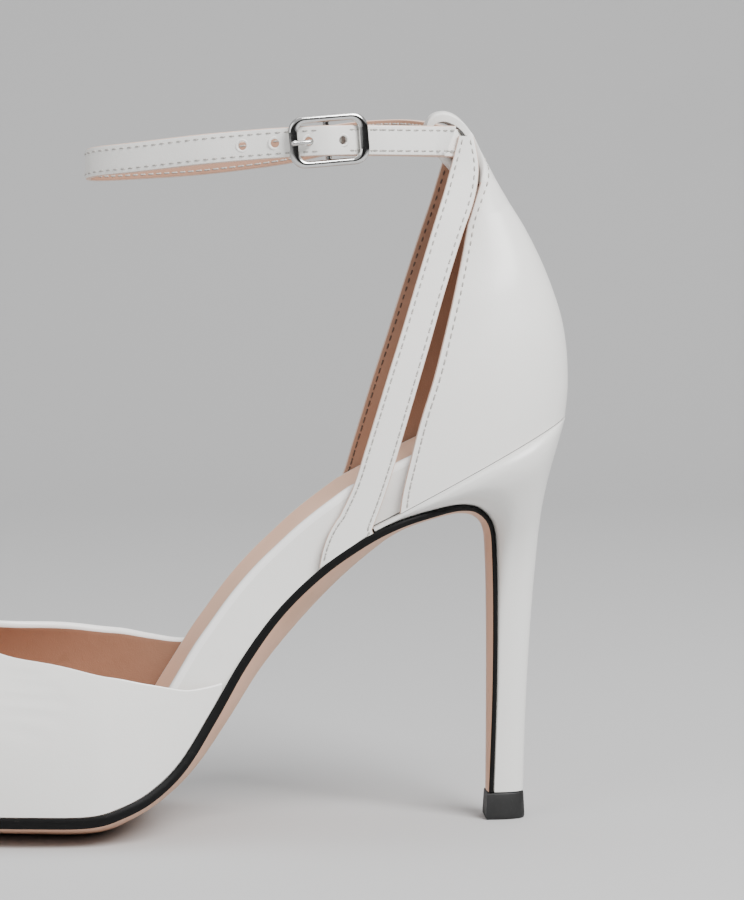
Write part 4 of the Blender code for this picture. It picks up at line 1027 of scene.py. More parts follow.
    def heel(self, bench: Bench) -> bpy.types.Object:
        """The covered heel with its wings."""
        last, rings = self.last, []
        base = last.top_piece + last.clear
        across = np.linspace(1, -1, 17)
        for at in row_stops(self.heels, 8):
            back_share, up, row, width, widest = (float(v) for v in between(self.heels, at))
            front = [last.sole_point(row, x, last.clear) for x in across]
            corner = {1: abs(front[0][1]), -1: abs(front[-1][1])}
            half = width * last.seat_width
            back = (-back_share * last.seat_reach, base + up * (last.heel_height - base))
            rings.append(self.ring(back, front, lambda share, side, half=half, corner=corner, widest=widest:
                                   self.bulge(share, widest, max(half, corner[side]), corner[side])))
        reach = last.seat_front[0] - last.seat_back[0]
        for level, flat in ((-last.wing_edge, 0.0), (0.0, 1.0)):
            lift = last.clear + last.wing_edge + level
            front = [last.sole_point(last.wing_row, x, lift, flat) for x in across]
            rings.append(self.ring(
                (last.seat_back[0], last.seat_back[1] + level), front,
                lambda share, side: last.seat_half(last.seat_back[0] + reach * share, Side(side)),
            ))
        return bench.loft("heel_dressed", np.array(rings), ONE_FINISH, (HEEL_COVER,), sharp=34.0)

    def lift(self, bench: Bench) -> bpy.types.Object:
        """The rubber top piece with its rounded lower edge."""
        last, rings = self.last, []
        end = len(last.sole) - 1
        front = last.sole_point(end, 0.0, -float(between(last.rows[:, 5], end)))[0]
        back, half = self.heels[0][0] * last.seat_reach, last.rows[end][2]
        across = np.linspace(1, -1, 17)
        levels = ((0.0, -0.0001), (0.00015, 0.00015), (0.0005, 0.0003), (0.0015, 0.0003), (0.0040, 0.00016),
                  (0.0066, 0.0), (0.0069, -0.0001), (last.top_piece, -0.0003))
        for height, spread in levels:
            out = self.lip + spread
            front_line = [np.array([front + out, (half + out) * x, height]) for x in across]
            rings.append(self.ring((-back - out, height), front_line, lambda share, side, out=out:
                                   self.bulge(share, self.lift_widest, half + out, half + out)))
        return bench.loft("top_piece_dressed", np.array(rings), ONE_FINISH, (RUBBER,), sharp=50.0)


@dataclass(frozen=True)
class Crease:
    """A soft trough pressed into the vamp: its ends as ahead and turn, its depth and its half width."""

    start: tuple[float, float]
    end: tuple[float, float]
    depth: float
    spread: float


@dataclass(frozen=True)
class Vamp:
    """The closed toe, open at the throat and underneath, low at the sides.

    A rib's row holds: foot, top, turn. Foot and top are places along the length, turn is in degrees.
    """

    last: Last
    lateral: Table = (
        (0.331, 0.331, 0.8), (0.351, 0.351, 5.0), (0.374, 0.374, 11.2), (0.393, 0.393, 16.5),
        (0.433, 0.433, 25.4), (0.480, 0.480, 33.6), (0.530, 0.526, 40.4), (0.595, 0.567, 46.6),
        (0.670, 0.600, 55.6), (0.755, 0.626, 66.2), (0.845, 0.644, 76.0), (0.925, 0.654, 83.0),
        (0.975, 0.6572, 87.0), (0.996, 0.658, 89.0),
    )
    medial: Table = (
        (0.329, 0.329, 0.8), (0.345, 0.345, 8.0), (0.368, 0.368, 14.7), (0.396, 0.396, 22.3),
        (0.445, 0.445, 33.5), (0.493, 0.493, 41.4), (0.545, 0.542, 47.9), (0.610, 0.586, 55.5),
        (0.685, 0.614, 63.5), (0.765, 0.634, 71.0), (0.850, 0.647, 77.5), (0.925, 0.655, 83.5),
        (0.975, 0.6575, 87.0), (0.996, 0.658, 89.0),
    )
    creases: tuple[Crease, ...] = (
        Crease((0.590, 39.0), (0.515, 31.5), 0.00040, 0.0013),
        Crease((0.592, 34.0), (0.505, 27.0), 0.00044, 0.0014),
        Crease((0.585, 42.5), (0.530, 36.5), 0.00028, 0.0012),
        Crease((0.590, 29.0), (0.510, 22.5), 0.00034, 0.0015),
        Crease((0.585, 24.0), (0.530, 18.5), 0.00022, 0.0016),
    )

    def press(self, ahead: float, turn: float) -> float:
        """How deep the creases press the outer face at a place."""
        deep = 0.0
        per_length, per_degree = self.last.length, math.radians(self.last.instep)
        scale = np.array([per_length, per_degree])
        here = np.array([ahead, turn]) * scale
        for crease in self.creases:
            start, end = np.array(crease.start) * scale, np.array(crease.end) * scale
            span = end - start
            share = float(np.clip((here - start) @ span / (span @ span), 0, 1))
            gap = float(np.linalg.norm(here - start - span * share))
            fading = math.sin(math.pi * (0.15 + 0.7 * share))
            deep += crease.depth * math.exp(-((gap / crease.spread) ** 2)) * fading
        return deep

    def line(self, foot: float, top: float, turn: float, side: Side, inset: float, rise: np.ndarray) -> list:
        """A rib of one face, from the sole's edge up to the topline."""
        front, points = max(0.0, (foot - 0.55) / 0.45), []
        for share in rise:
            ahead = foot + (top - foot) * share ** (1 + 0.8 * front)
            swing = turn * (1 - (1 - share) ** (1 + 7 * front**3))
            press = self.press(ahead, swing) if side is Side.LATERAL and not inset else 0.0
            points.append(self.last.upper_point(ahead * self.last.length, swing, side, inset + press))
        return points

    def ridge(self, top: float, inset: float, rise: np.ndarray) -> list:
        """The middle rib of one face, from the toe's tip back to the topline."""
        places = [(1 + (top - 1) * share**1.8) * self.last.length for share in rise]
        return [self.last.upper_point(ahead, 90, Side.LATERAL, inset) for ahead in places]

    def build(self, bench: Bench) -> None:
        """Builds the vamp with its lining and folded topline, the fold painted brighter as a highlight."""
        rise = np.concatenate([np.linspace(0, 0.9, 28), np.linspace(0.9, 1, 8)[1:]])
        half_rise = rise[::3]
        faces = ((0.0, rise), (self.last.wall, half_rise))
        lateral, medial = (
            [
                [self.line(*rib, side, inset, stages) for inset, stages in faces]
                for rib in eased(between(table, row_stops(table, 9)), 9).tolist()
            ]
            for table, side in ((self.lateral, Side.LATERAL), (self.medial, Side.MEDIAL))
        )
        toe = [self.ridge(self.lateral[-1][1], inset, stages) for inset, stages in faces]
        rings = []
        for outer, inner in lateral + [toe] + medial[::-1]:
            away = unit(outer[-1] - outer[-2])
            rings.append(outer + rim(outer[-1], inner[-1], away, 5, 0.55) + inner[::-1])
        # The rim round the topline takes the brighter finish, a painted highlight.
        slots = [0] * (len(rise) - 1) + [2] * 6 + [1] * len(half_rise)
        vamp = bench.loft("vamp_dressed", np.array(rings), np.array(slots), (OUTER, LINING, FOLDED_EDGE_HIGHLIGHT))
        bench.deliver(vamp, "vamp")


@dataclass(frozen=True)
class CounterPiece:
    """The counter round the heel, and its tongue over the ankle strap.

    Levels hold: height, back, front height, front, lateral, medial. Folds hold: height, ahead, cup, width.
    """

    last: Last
    loop_width: float = 0.0115
    seam_inset: float = 0.0017
    seam_lift: float = 0.00003
    seam_levels: tuple[int, int] = (2, 8)
    foot_closing: float = 0.35
    droop: float = 0.0013
    droop_rows: tuple[int, int, int, int] = (3, 5, 7, 9)
    level_steps: int = 8
    levels: Table = (
        (0.000, 1.000, -0.285, 0.1290, 0.980, 0.920), (0.055, 1.030, -0.225, 0.1260, 0.985, 0.930),
        (0.117, 1.045, -0.140, 0.1190, 0.980, 0.930), (0.220, 1.020, 0.000, 0.1060, 0.945, 0.905),
        (0.320, 0.935, 0.140, 0.0900, 0.880, 0.850), (0.418, 0.780, 0.270, 0.0775, 0.790, 0.765),
        (0.517, 0.575, 0.395, 0.0660, 0.680, 0.660), (0.617, 0.320, 0.520, 0.0550, 0.500, 0.490),
        (0.700, 0.060, 0.630, 0.0465, 0.365, 0.360),
    )
    folds: Table = (
        (0.765, 0.0095, 0.42, 1.25), (0.820, 0.0200, 0.16, 1.05), (0.870, 0.0300, 0.05, 1.00),
        (0.920, 0.0400, 0.00, 1.00), (0.960, 0.0495, 0.00, 1.00), (0.990, 0.0610, 0.00, 1.00),
        (1.000, 0.0740, 0.00, 1.00), (0.988, 0.0870, 0.00, 0.98), (0.950, 0.0935, 0.00, 0.96),
        (0.890, 0.0870, 0.00, 0.92), (0.810, 0.0640, 0.00, 0.88), (0.730, 0.0370, 0.00, 0.84),
        (0.665, 0.0110, 0.00, 0.82), (0.605, -0.0030, 0.00, 0.80),
    )

    def level(self, back: np.ndarray, front: np.ndarray, lateral: float, medial: float,
              turns: np.ndarray) -> list:
        """One level, round the back from its lateral front edge to its medial one."""
        line = []
        for turn in turns:
            deep = max(math.cos(turn), 0.0) ** self.last.seat_power
            half = lateral if turn > 0 else medial
            spot = front + (back - front) * deep
            out = math.copysign(abs(math.sin(turn)) ** self.last.seat_power * half, turn)
            line.append(np.array([spot[0], out, spot[1] + self.last.clear]))
        return line

    def faces(self) -> tuple[list, list]:
        """The outer and the inner face, as levels of points."""
        last = self.last
        even = np.radians(np.linspace(90, -90, 61))
        turns = (np.radians(90 * np.sin(even)) + even) / 2
        top = last.heel_height + last.counter_height
        low, lowest = last.seat_height(self.levels[0][3] * last.length), self.levels[0][2]
        outer, inner = [], []
        for at in row_stops(self.levels, self.level_steps):
            height, back_share, front_share, front_ahead, lateral, medial = between(self.levels, at)
            back = np.array([-back_share * last.seat_reach, last.heel_height + height * last.counter_height])
            climb = (front_share - lowest) / (1 - lowest)
            front = np.array([front_ahead * last.length, low + climb * (top - low)])
            halves = np.array([lateral, medial]) * last.seat_width / 2
            down = np.array([0, last.clear * (self.foot_closing if at == 0 else 0.0)])
            outer.append(self.level(back - down, front - down, *halves, turns))
            inner.append(self.level(back + [last.wall, 0] - down, front - down, *(halves - last.wall), turns))
        for at in row_stops(self.folds, 5):
            height, ahead, cup, width = between(self.folds, at)
            before, after = between(self.folds, max(at - 0.1, 0)), between(self.folds, at + 0.1)
            heading = unit(np.array([
                (after[1] - before[1]) * last.length, (after[0] - before[0]) * last.counter_height
            ]))
            inward = np.array([heading[1], -heading[0]]) * last.wall
            back = np.array([ahead * last.length, last.heel_height + height * last.counter_height])
            fall = self.droop * np.interp(at, self.droop_rows, [0, 1, 1, 0])
            front = back + [max(cup, 0) * self.loop_width, -fall]
            half = width * self.loop_width / 2
            shrink = min(1.0, max(cup, 0) * 2)
            outer.append(self.level(back, front, half, half, turns))
            inner_front, inner_half = front + inward * (1 - shrink), half - last.wall * shrink
            inner.append(self.level(back + inward, inner_front, inner_half, inner_half, turns))
        return outer, inner

    def build(self, bench: Bench, sewing: Sewing) -> None:
        """Builds the counter and its seam along the front edges."""
        outer, inner = self.faces()
        rings = []
        for out_line, in_line in zip(outer, inner):
            medial = rim(out_line[-1], in_line[-1], unit(out_line[-1] - out_line[-2]), 3, 0.4)
            lateral = rim(in_line[0], out_line[0], unit(out_line[0] - out_line[1]), 3, 0.4)
            rings.append(out_line + medial + in_line[::-1] + lateral)
        count = len(outer[0])
        wall = [0] * (count - 1) + [2] * 4 + [1] * (count - 1) + [2] * 4
        fold = [0] * (2 * count + 6)
        wall_levels = len(row_stops(self.levels, self.level_steps))
        slots = [wall if ring < wall_levels else fold for ring in range(len(rings))]
        counter = bench.loft("counter_dressed", np.array(rings), np.array(slots), (OUTER, LINING, RAW_EDGE))
        bench.deliver(counter, "counter")
        lines = []
        first, past = self.seam_levels
        for side, order in ((Side.LATERAL, 1), (Side.MEDIAL, -1)):
            line = []
            for out_line in outer[first:wall_levels + past]:
                points = np.array(out_line[::order])
                steps = np.linalg.norm(np.diff(points, axis=0), axis=1)
                run = np.concatenate([[0], np.cumsum(steps)])
                inset = min(self.seam_inset, run[-1] * 0.2)
                point = np.array([np.interp(inset, run, points[:, axis]) for axis in range(3)])
                away = np.array([0.25, side.value, 0.0])
                line.append(point + unit(away) * self.seam_lift)
            lines.append(np.array(line))
        sewing.rows(bench, "counter_seam", lines)


@dataclass(frozen=True)
class SideStrap:
    """A side strap from the sole's edge at the waist up to the ankle strap.

    Rows hold: up, bow, out, width. The end holds: ahead, height, and how far out it stands.
    """

    last: Last
    side: Side
    end: tuple[float, float, float]
    width: float = 0.0084
    thickness: float = 0.0014
    foot: float = 0.192
    spread: float = 1.53
    seam_inset: float = 0.0012
    narrowest_sewn: float = 0.0045
    path: Table = (
        (0.07, -0.08, 1.000, 1.08), (0.15, -0.18, 1.000, 1.00), (0.25, -0.195, 0.985, 1.00),
        (0.40, -0.195, 0.920, 0.98), (0.52, -0.205, 0.830, 0.95), (0.65, -0.205, 0.715, 0.93),
        (0.78, -0.23, 0.590, 0.94), (0.87, -0.27, 0.485, 0.97), (0.94, -0.20, 0.400, 0.86),
        (1.01, 0.02, 0.330, 0.48),
    )

    def stations(self) -> list[Station]:
        """Each station's outer middle point, its direction across and its width."""
        last = self.last
        foot_ahead = self.foot * last.length
        station = between(last.rows, last.row_at(foot_ahead))
        foot = np.array([foot_ahead, station[1]])
        top = np.array([self.end[0] * last.length, last.heel_height + self.end[1] * last.counter_height])
        foot_out = abs(station[2] if self.side is Side.LATERAL else station[3]) - last.clear
        span = top - foot
        normal = unit(np.array([span[1], -span[0]]))
        low = [
            float(between(last.rows, last.row_at(foot_ahead + x * self.spread * self.width))[1])
            for x in (-0.5, 0.5)
        ]
        slope = np.array([self.spread * self.width, low[1] - low[0]])
        foot_middle = np.array([foot_ahead, foot_out, (low[0] + low[1]) / 2 + last.clear])
        made = [(foot_middle, unit(slope), float(np.linalg.norm(slope)))]
        for at in row_stops(self.path, 10):
            up, bow, out, width = between(self.path, at)
            before, after = between(self.path, max(at - 0.1, 0)), between(self.path, at + 0.1)
            middle = foot + span * up + normal * bow * self.width
            heading = unit(span * (after[0] - before[0]) + normal * (after[1] - before[1]) * self.width)
            away = foot_out * out * (1 + (self.end[2] - 1) * up**3)
            made.append((np.array([middle[0], away, middle[1]]), np.array([heading[1], -heading[0]]),
                         float(width * self.width)))
        flare = []
        for share in np.linspace(0, 1, 8)[:-1]:
            middle, sideways, width = (start + (end - start) * share for start, end in zip(made[0], made[1]))
            flare.append((middle, unit(sideways), width))
        return flare + made[1:]

    def spot(self, station: Station, across: float, out: float) -> list[float]:
        """A point of a station, across in metres and out from the strap's outer face."""
        middle, sideways, _ = station
        ahead, height = middle[0] + sideways[0] * across, middle[2] + sideways[1] * across
        return [ahead, self.side.value * (middle[1] + out), height]

    def build(self, bench: Bench, sewing: Sewing) -> None:
        """Builds the strap with two rows of stitches on each face."""
        name = f"side_strap_{self.side.name.lower()}"
        rings, slots = [], None
        made = self.stations()
        for station in made:
            section, slots = strap_section(station[2], self.thickness)
            rings.append([self.spot(station, x, y - self.thickness / 2) for x, y in section])
        strap = bench.loft(f"{name}_dressed", np.array(rings), slots, (OUTER, RAW_EDGE, LINING))
        bench.deliver(strap, name)
        faces = (
            (f"{name}_seams", sewing.outer_lift, SHADED_THREAD),
            (f"{name}_lining_seams", -self.thickness - sewing.lining_lift, BOBBIN),
        )
        for seam, out, yarn in faces:
            lines = []
            for sign in (-1, 1):
                lines.append(np.array([
                    self.spot(station, sign * (station[2] / 2 - self.seam_inset), out)
                    for station in made[1:] if station[2] > self.narrowest_sewn
                ]))
            sewing.rows(bench, seam, lines, yarn)


@dataclass(frozen=True)
class AnkleStrap:
    """The ankle strap and its buckle.

    Rows hold: ahead, out, height, lean in degrees, and how many layers out the strap lies.
    """

    last: Last
    width: float = 0.0076
    thickness: float = 0.0014
    reach: float = 0.1080
    span: float = 0.0480
    hole: float = 0.0022
    hole_pitch: float = 0.0080
    holes: int = 4
    buckle_row: int = 25
    billet_row: int = 21
    buckle_length: float = 0.0205
    buckle_height: float = 0.0130
    buckle_end: float = 0.0025
    buckle_rail: float = 0.0018
    buckle_tilt: float = 3.0
    buckle_depth: float = 0.0018
    buckle_corner: float = 0.0040
    bar: float = 0.0008
    prong: float = 0.0006
    prong_lead: float = 0.0049
    skived: float = 0.0009
    slip: float = 0.00025
    slant: float = 0.45
    tip_rings: int = 16
    tip_reach: float = 2.2
    slot: tuple[float, float, float] = (0.0058, 0.0021, 0.0058)
    slot_sink: float = 0.0006
    rim_width: float = 0.00032
    rim_rise: float = 0.00016
    seam_inset: float = 0.0012
    path: Table = (
        (0.400, 0.930, 0.898, 0, 0.0), (0.335, 0.870, 0.899, 0, 0.0), (0.255, 0.700, 0.899, 2, 0.0),
        (0.190, 0.480, 0.898, 10, 0.0), (0.148, 0.285, 0.897, 20, 0.0), (0.116, 0.210, 0.896, 28, 0.0),
        (0.103, 0.120, 0.895, 32, 0.0), (0.1005, 0.000, 0.895, 33, 0.0), (0.1045, -0.140, 0.896, 33, 0.0),
        (0.1120, -0.270, 0.898, 30, 0.0), (0.138, -0.365, 0.910, 18, 0.0), (0.185, -0.530, 0.927, 8, 0.0),
        (0.260, -0.770, 0.935, 2, 0.0), (0.380, -0.940, 0.922, 0, 0.0), (0.530, -1.000, 0.880, 0, 0.0),
        (0.720, -0.830, 0.846, 0, 0.0), (0.890, -0.480, 0.828, 0, 0.0), (0.975, -0.180, 0.822, 0, 0.0),
        (0.998, 0.040, 0.826, 0, 0.0), (0.970, 0.270, 0.836, 0, 0.0), (0.880, 0.560, 0.848, 0, 0.0),
        (0.735, 0.860, 0.870, 0, 0.0), (0.600, 0.985, 0.886, 0, 0.3), (0.533, 1.000, 0.892, 0, 1.0),
        (0.485, 0.985, 0.896, 0, 2.1), (0.443, 0.965, 0.898, 0, 2.75), (0.400, 0.930, 0.900, 0, 2.1),
        (0.358, 0.885, 0.901, 0, 1.0), (0.300, 0.810, 0.901, 0, 1.0), (0.240, 0.660, 0.901, 0, 1.35),
        (0.185, 0.465, 0.900, 4, 1.9), (0.150, 0.345, 0.899, 8, 2.1),
    )

    def middle(self, at: float) -> np.ndarray:
        """The strap's middle line at a row of its table."""
        ahead, out, height, _, _ = between(self.path, at)
        rise = self.last.heel_height + height * self.last.counter_height
        return np.array([ahead * self.reach, out * self.span / 2, rise])

    def station(self, at: float) -> tuple[np.ndarray, np.ndarray, np.ndarray]:
        """A row's point on the strap's own middle, its direction across and its outward one."""
        heading = unit(self.middle(at + 0.02) - self.middle(max(at - 0.02, 0)))
        row = between(self.path, at)
        outward = -unit(np.cross([0, 0, 1.0], heading))
        lean = math.radians(float(row[3]))
        tilt = np.array([math.sin(lean), 0, math.cos(lean)])
        wide = unit(tilt - heading * float(tilt @ heading))
        thick = np.cross(heading, wide)
        if float(thick @ outward) < 0:
            thick = -thick
        return self.middle(at) + thick * float(row[4]) * (self.thickness + self.last.clear), wide, thick

    @property
    def bar_out(self) -> float:
        """How far the bar's centre stands outside the strap's line."""
        return self.skived / 2 + self.slip + self.bar

    @property
    def frame_out(self) -> float:
        """How far the frame's middle plane stands outside it."""
        return 1.5 * self.thickness + 2 * self.last.clear + self.buckle_depth / 2

    def axes(self) -> tuple[np.ndarray, np.ndarray, np.ndarray, np.ndarray]:
        """The buckle's origin under its bar, and its directions back along the strap, up and out."""
        low, high = self.middle(self.buckle_row - 1.5), self.middle(self.buckle_row + 1.5)
        _, _, thick = self.station(self.buckle_row)
        backward = unit(high - low)
        up = unit(np.array([0, 0, 1.0]) - backward * backward[2])
        out = np.cross(backward, up)
        if float(out @ thick) < 0:
            out = -out
        return self.middle(self.buckle_row), backward, up, out

    def swung_axes(self) -> tuple[np.ndarray, np.ndarray, np.ndarray, np.ndarray]:
        """The same axes, swung a little in the strap's own plane."""
        origin, backward, up, out = self.axes()
        tilt = math.radians(self.buckle_tilt)
        swung = backward * math.cos(tilt) + up * math.sin(tilt)
        return origin, swung, up * math.cos(tilt) - backward * math.sin(tilt), out

    def hole_row(self, hole: int) -> float:
        """The row at one of the holes: the third holds the prong."""
        ahead = self.path[self.buckle_row][0] * self.reach + self.prong_lead + (2 - hole) * self.hole_pitch
        rows = np.linspace(self.billet_row, len(self.path) - 1, 400)
        return float(np.interp(-ahead, -between([row[0] * self.reach for row in self.path], rows), rows))

    def round_bar(self, radius: float, angles: np.ndarray) -> list[tuple[float, float]]:
        """Places, as back and out, on a bend round the bar at angles in degrees."""
        return [(radius * math.cos(a), self.bar_out + radius * math.sin(a)) for a in np.radians(angles)]

    def rod(self, middle: np.ndarray, direction: np.ndarray, radius: float, length: float) -> bpy.types.Mesh:
        """A closed rod in place."""
        mesh = bmesh.new()
        bmesh.ops.create_cone(
            mesh, cap_ends=True, segments=ROD_SIDES, radius1=radius, radius2=radius, depth=length
        )
        turn = Vector(direction).to_track_quat("Z", "Y").to_matrix().to_4x4()
        mesh.transform(Matrix.Translation(Vector(middle)) @ turn)
        data = bpy.data.meshes.new("rod")
        mesh.to_mesh(data)
        mesh.free()
        return data

    def strap(self, bench: Bench) -> None:
        """Builds the ribbon, with its holes and its slot."""
        origin, backward, up, out = self.axes()
        turn = self.bar + self.slip + self.skived / 2
        fold = [(2.2 * turn, self.bar_out + 0.4 * turn), (1.1 * turn, self.bar_out + 0.9 * turn)]
        fold += self.round_bar(turn, np.arange(90, 271, 12))
        fold.append((1.2 * turn, self.bar_out - turn))
        rings, route = [], np.array(fold)
        thin_section, slots = strap_section(self.width, self.skived)
        for (back, away), heading in zip(route, headings(route)):
            normal = backward * -heading[1] + out * heading[0]
            point = origin + backward * back + out * away
            rings.append([point + up * x + normal * y for x, y in thin_section])
        section, _ = strap_section(self.width, self.thickness)
        for at in row_stops(self.path, 12):
            point, wide, thick = self.station(at)
            rings.append([point + wide * x + thick * y for x, y in section])
        rings = np.array(rings)
        lower = 0.5 - section[:, 0] / self.width
        cut = self.slant * self.width
        tail = rings[-self.tip_rings:].copy()
        run = np.linalg.norm(tail[-1].mean(0) - tail.mean(1), axis=1)
        for ring, behind in zip(range(len(rings) - self.tip_rings, len(rings)), run):
            ease = max(0.0, 1 - behind / (self.tip_reach * cut))
            rings[ring] -= np.outer(np.clip(lower, 0, 1) * cut * ease, backward)
        strap = bench.loft("ankle_strap_dressed", rings, slots, (OUTER, RAW_EDGE, LINING))
        cutters = []
        for hole in range(self.holes):
            point, _, thick = self.station(self.hole_row(hole))
            cutters.append(self.rod(point, thick, self.hole / 2, 2.2 * self.thickness))
        slot = bmesh.new()
        bmesh.ops.create_cube(slot, size=1.0)
        bmesh.ops.scale(slot, vec=self.slot, verts=slot.verts)
        third = np.cross(backward, up)
        columns = np.column_stack([backward, up, third])
        place = Matrix(columns.tolist()).to_4x4()
        place.translation = Vector(origin + out * (self.bar_out - self.slot_sink))
        slot.transform(place)
        data = bpy.data.meshes.new("slot")
        slot.to_mesh(data)
        slot.free()
        bench.cut(strap, [*cutters, data])
        bench.deliver(strap, "ankle_strap")
        self.rims(bench)

    def rims(self, bench: Bench) -> None:
        """Builds the low pressed rims round the billet's holes."""
        for hole in range(self.holes):
            point, wide, thick = self.station(self.hole_row(hole))
            run, rings = np.cross(wide, thick), []
            for a in np.linspace(0, math.tau, 32, endpoint=False):
                spoke = wide * math.cos(a) + run * math.sin(a)
                base = point + thick * (self.thickness / 2) + spoke * (self.hole / 2 + self.rim_width)
                rings.append([
                    base + spoke * self.rim_width * math.cos(b) + thick * self.rim_rise * math.sin(b)
                    for b in np.linspace(0, math.tau, 10, endpoint=False)
                ])
            rim_piece = bench.loft(f"hole_rim_{hole}", np.array(rings), ONE_FINISH, (OUTER,), closed=True)
            bench.deliver(rim_piece)

    def seams(self, bench: Bench, sewing: Sewing) -> None:
        """Sews the two rows on each face of the strap."""
        lines = []
        last_row = len(self.path) - 1.35
        parts = ((0.6, 4.2), (11.0, 24.2), (26.2, last_row))
        outside, inside = self.thickness / 2 + sewing.outer_lift, -self.thickness / 2 - sewing.lining_lift
        for face in (outside, inside):
            for sign in (-1, 1):
                for low, high in parts:
                    line = []
                    for at in stops(low, high, int(12 * (high - low))):
                        point, wide, thick = self.station(at)
                        line.append(point + wide * sign * (self.width / 2 - self.seam_inset) + thick * face)
                    lines.append(np.array(line))
        sewing.rows(bench, "ankle_strap_seams", lines)

    def frame(self, bench: Bench) -> None:
        """Builds the buckle's frame with its centre bar on two short posts."""
        origin, backward, up, out = self.swung_axes()
        outlines = []
        for length, height, corner in (
            (self.buckle_length, self.buckle_height, self.buckle_corner),
            (self.buckle_length - 2 * self.buckle_end, self.buckle_height - 2 * self.buckle_rail,
             self.buckle_corner - self.buckle_rail),
        ):
            line = []
            for start, (x, y) in enumerate(((1, 1), (-1, 1), (-1, -1), (1, -1))):
                for step in range(10):
                    angle = math.radians(90 * (start + step / 9))
                    line.append((x * (length / 2 - corner) + corner * math.cos(angle),
                                 y * (height / 2 - corner) + corner * math.sin(angle)))
            outlines.append(np.array(line))
        rings = []
        for outside, inside in zip(*outlines):
            middle, half = (outside + inside) / 2, (outside - inside) / 2
            ring = []
            for angle in np.radians(np.linspace(0, 360, 20, endpoint=False)):
                reach = middle + half * math.copysign(abs(math.cos(angle)) ** 0.85, math.cos(angle))
                deep = self.frame_out + self.buckle_depth / 2 * math.copysign(
                    abs(math.sin(angle)) ** 0.8, math.sin(angle))
                ring.append(origin + backward * reach[0] + up * reach[1] + out * deep)
            rings.append(ring)
        frame = bench.loft("buckle_frame_dressed", np.array(rings), ONE_FINISH, (CHROME,), closed=True)
        mesh = bmesh.new()
        mesh.from_mesh(frame.data)
        rail = self.buckle_height / 2 - self.buckle_rail / 2
        mesh.from_mesh(self.rod(origin + out * self.bar_out, up, self.bar, 2 * rail + 0.8 * self.buckle_rail))
        for side in (1, -1):
            middle = origin + up * side * rail + out * (self.frame_out + self.bar_out) / 2
            mesh.from_mesh(self.rod(middle, out, 0.4 * self.buckle_rail, self.frame_out - self.bar_out))
        mesh.to_mesh(frame.data)
        mesh.free()
        frame.data.shade_smooth()
        frame.data.set_sharp_from_angle(angle=math.radians(SHARP_EDGE))
        bench.deliver(frame, "buckle_frame")

    def tongue(self, bench: Bench) -> None:
        """Builds the prong: hooked round the bar, up through the hole and onto the frame's end."""
        origin, backward, up, out = self.swung_axes()
        radius = self.bar + self.slip + self.prong
        rest = self.frame_out + self.buckle_depth / 2 + self.last.clear + self.prong
        lead, half, end = self.prong_lead, self.buckle_length / 2, self.buckle_end
        path = self.round_bar(radius, np.arange(-50, 91, 20))
        path += [
            (-0.45 * lead, self.bar_out + 0.66 * radius), (-0.78 * lead, self.bar_out + 0.44 * radius),
            (-0.94 * lead, self.bar_out + 0.72 * radius), (-1.02 * lead, rest - 1.1 * self.prong),
            (-1.14 * lead, rest), (-(half - 0.55 * end), rest), (-(half - 0.15 * end), rest),
        ]
        fine = between(path, row_stops(path, 6))
        rings = []
        for at, ((back, away), heading) in enumerate(zip(fine, headings(fine))):
            normal = backward * -heading[1] + out * heading[0]
            thin = min(1.0, 0.55 + 0.15 * (len(fine) - 1 - at))
            point = origin + backward * back + out * away
            rings.append([
                point + (up * math.cos(a) + normal * math.sin(a)) * self.prong * thin
                for a in np.linspace(0, math.tau, 16, endpoint=False)
            ])
        prong = bench.loft("buckle_prong_dressed", np.array(rings), ONE_FINISH, (CHROME,))
        bench.deliver(prong, "buckle_prong")

    def build(self, bench: Bench, sewing: Sewing) -> None:
        """Builds the strap, its seams and its buckle."""
        self.strap(bench)
        self.seams(bench, sewing)
        self.frame(bench)
        self.tongue(bench)


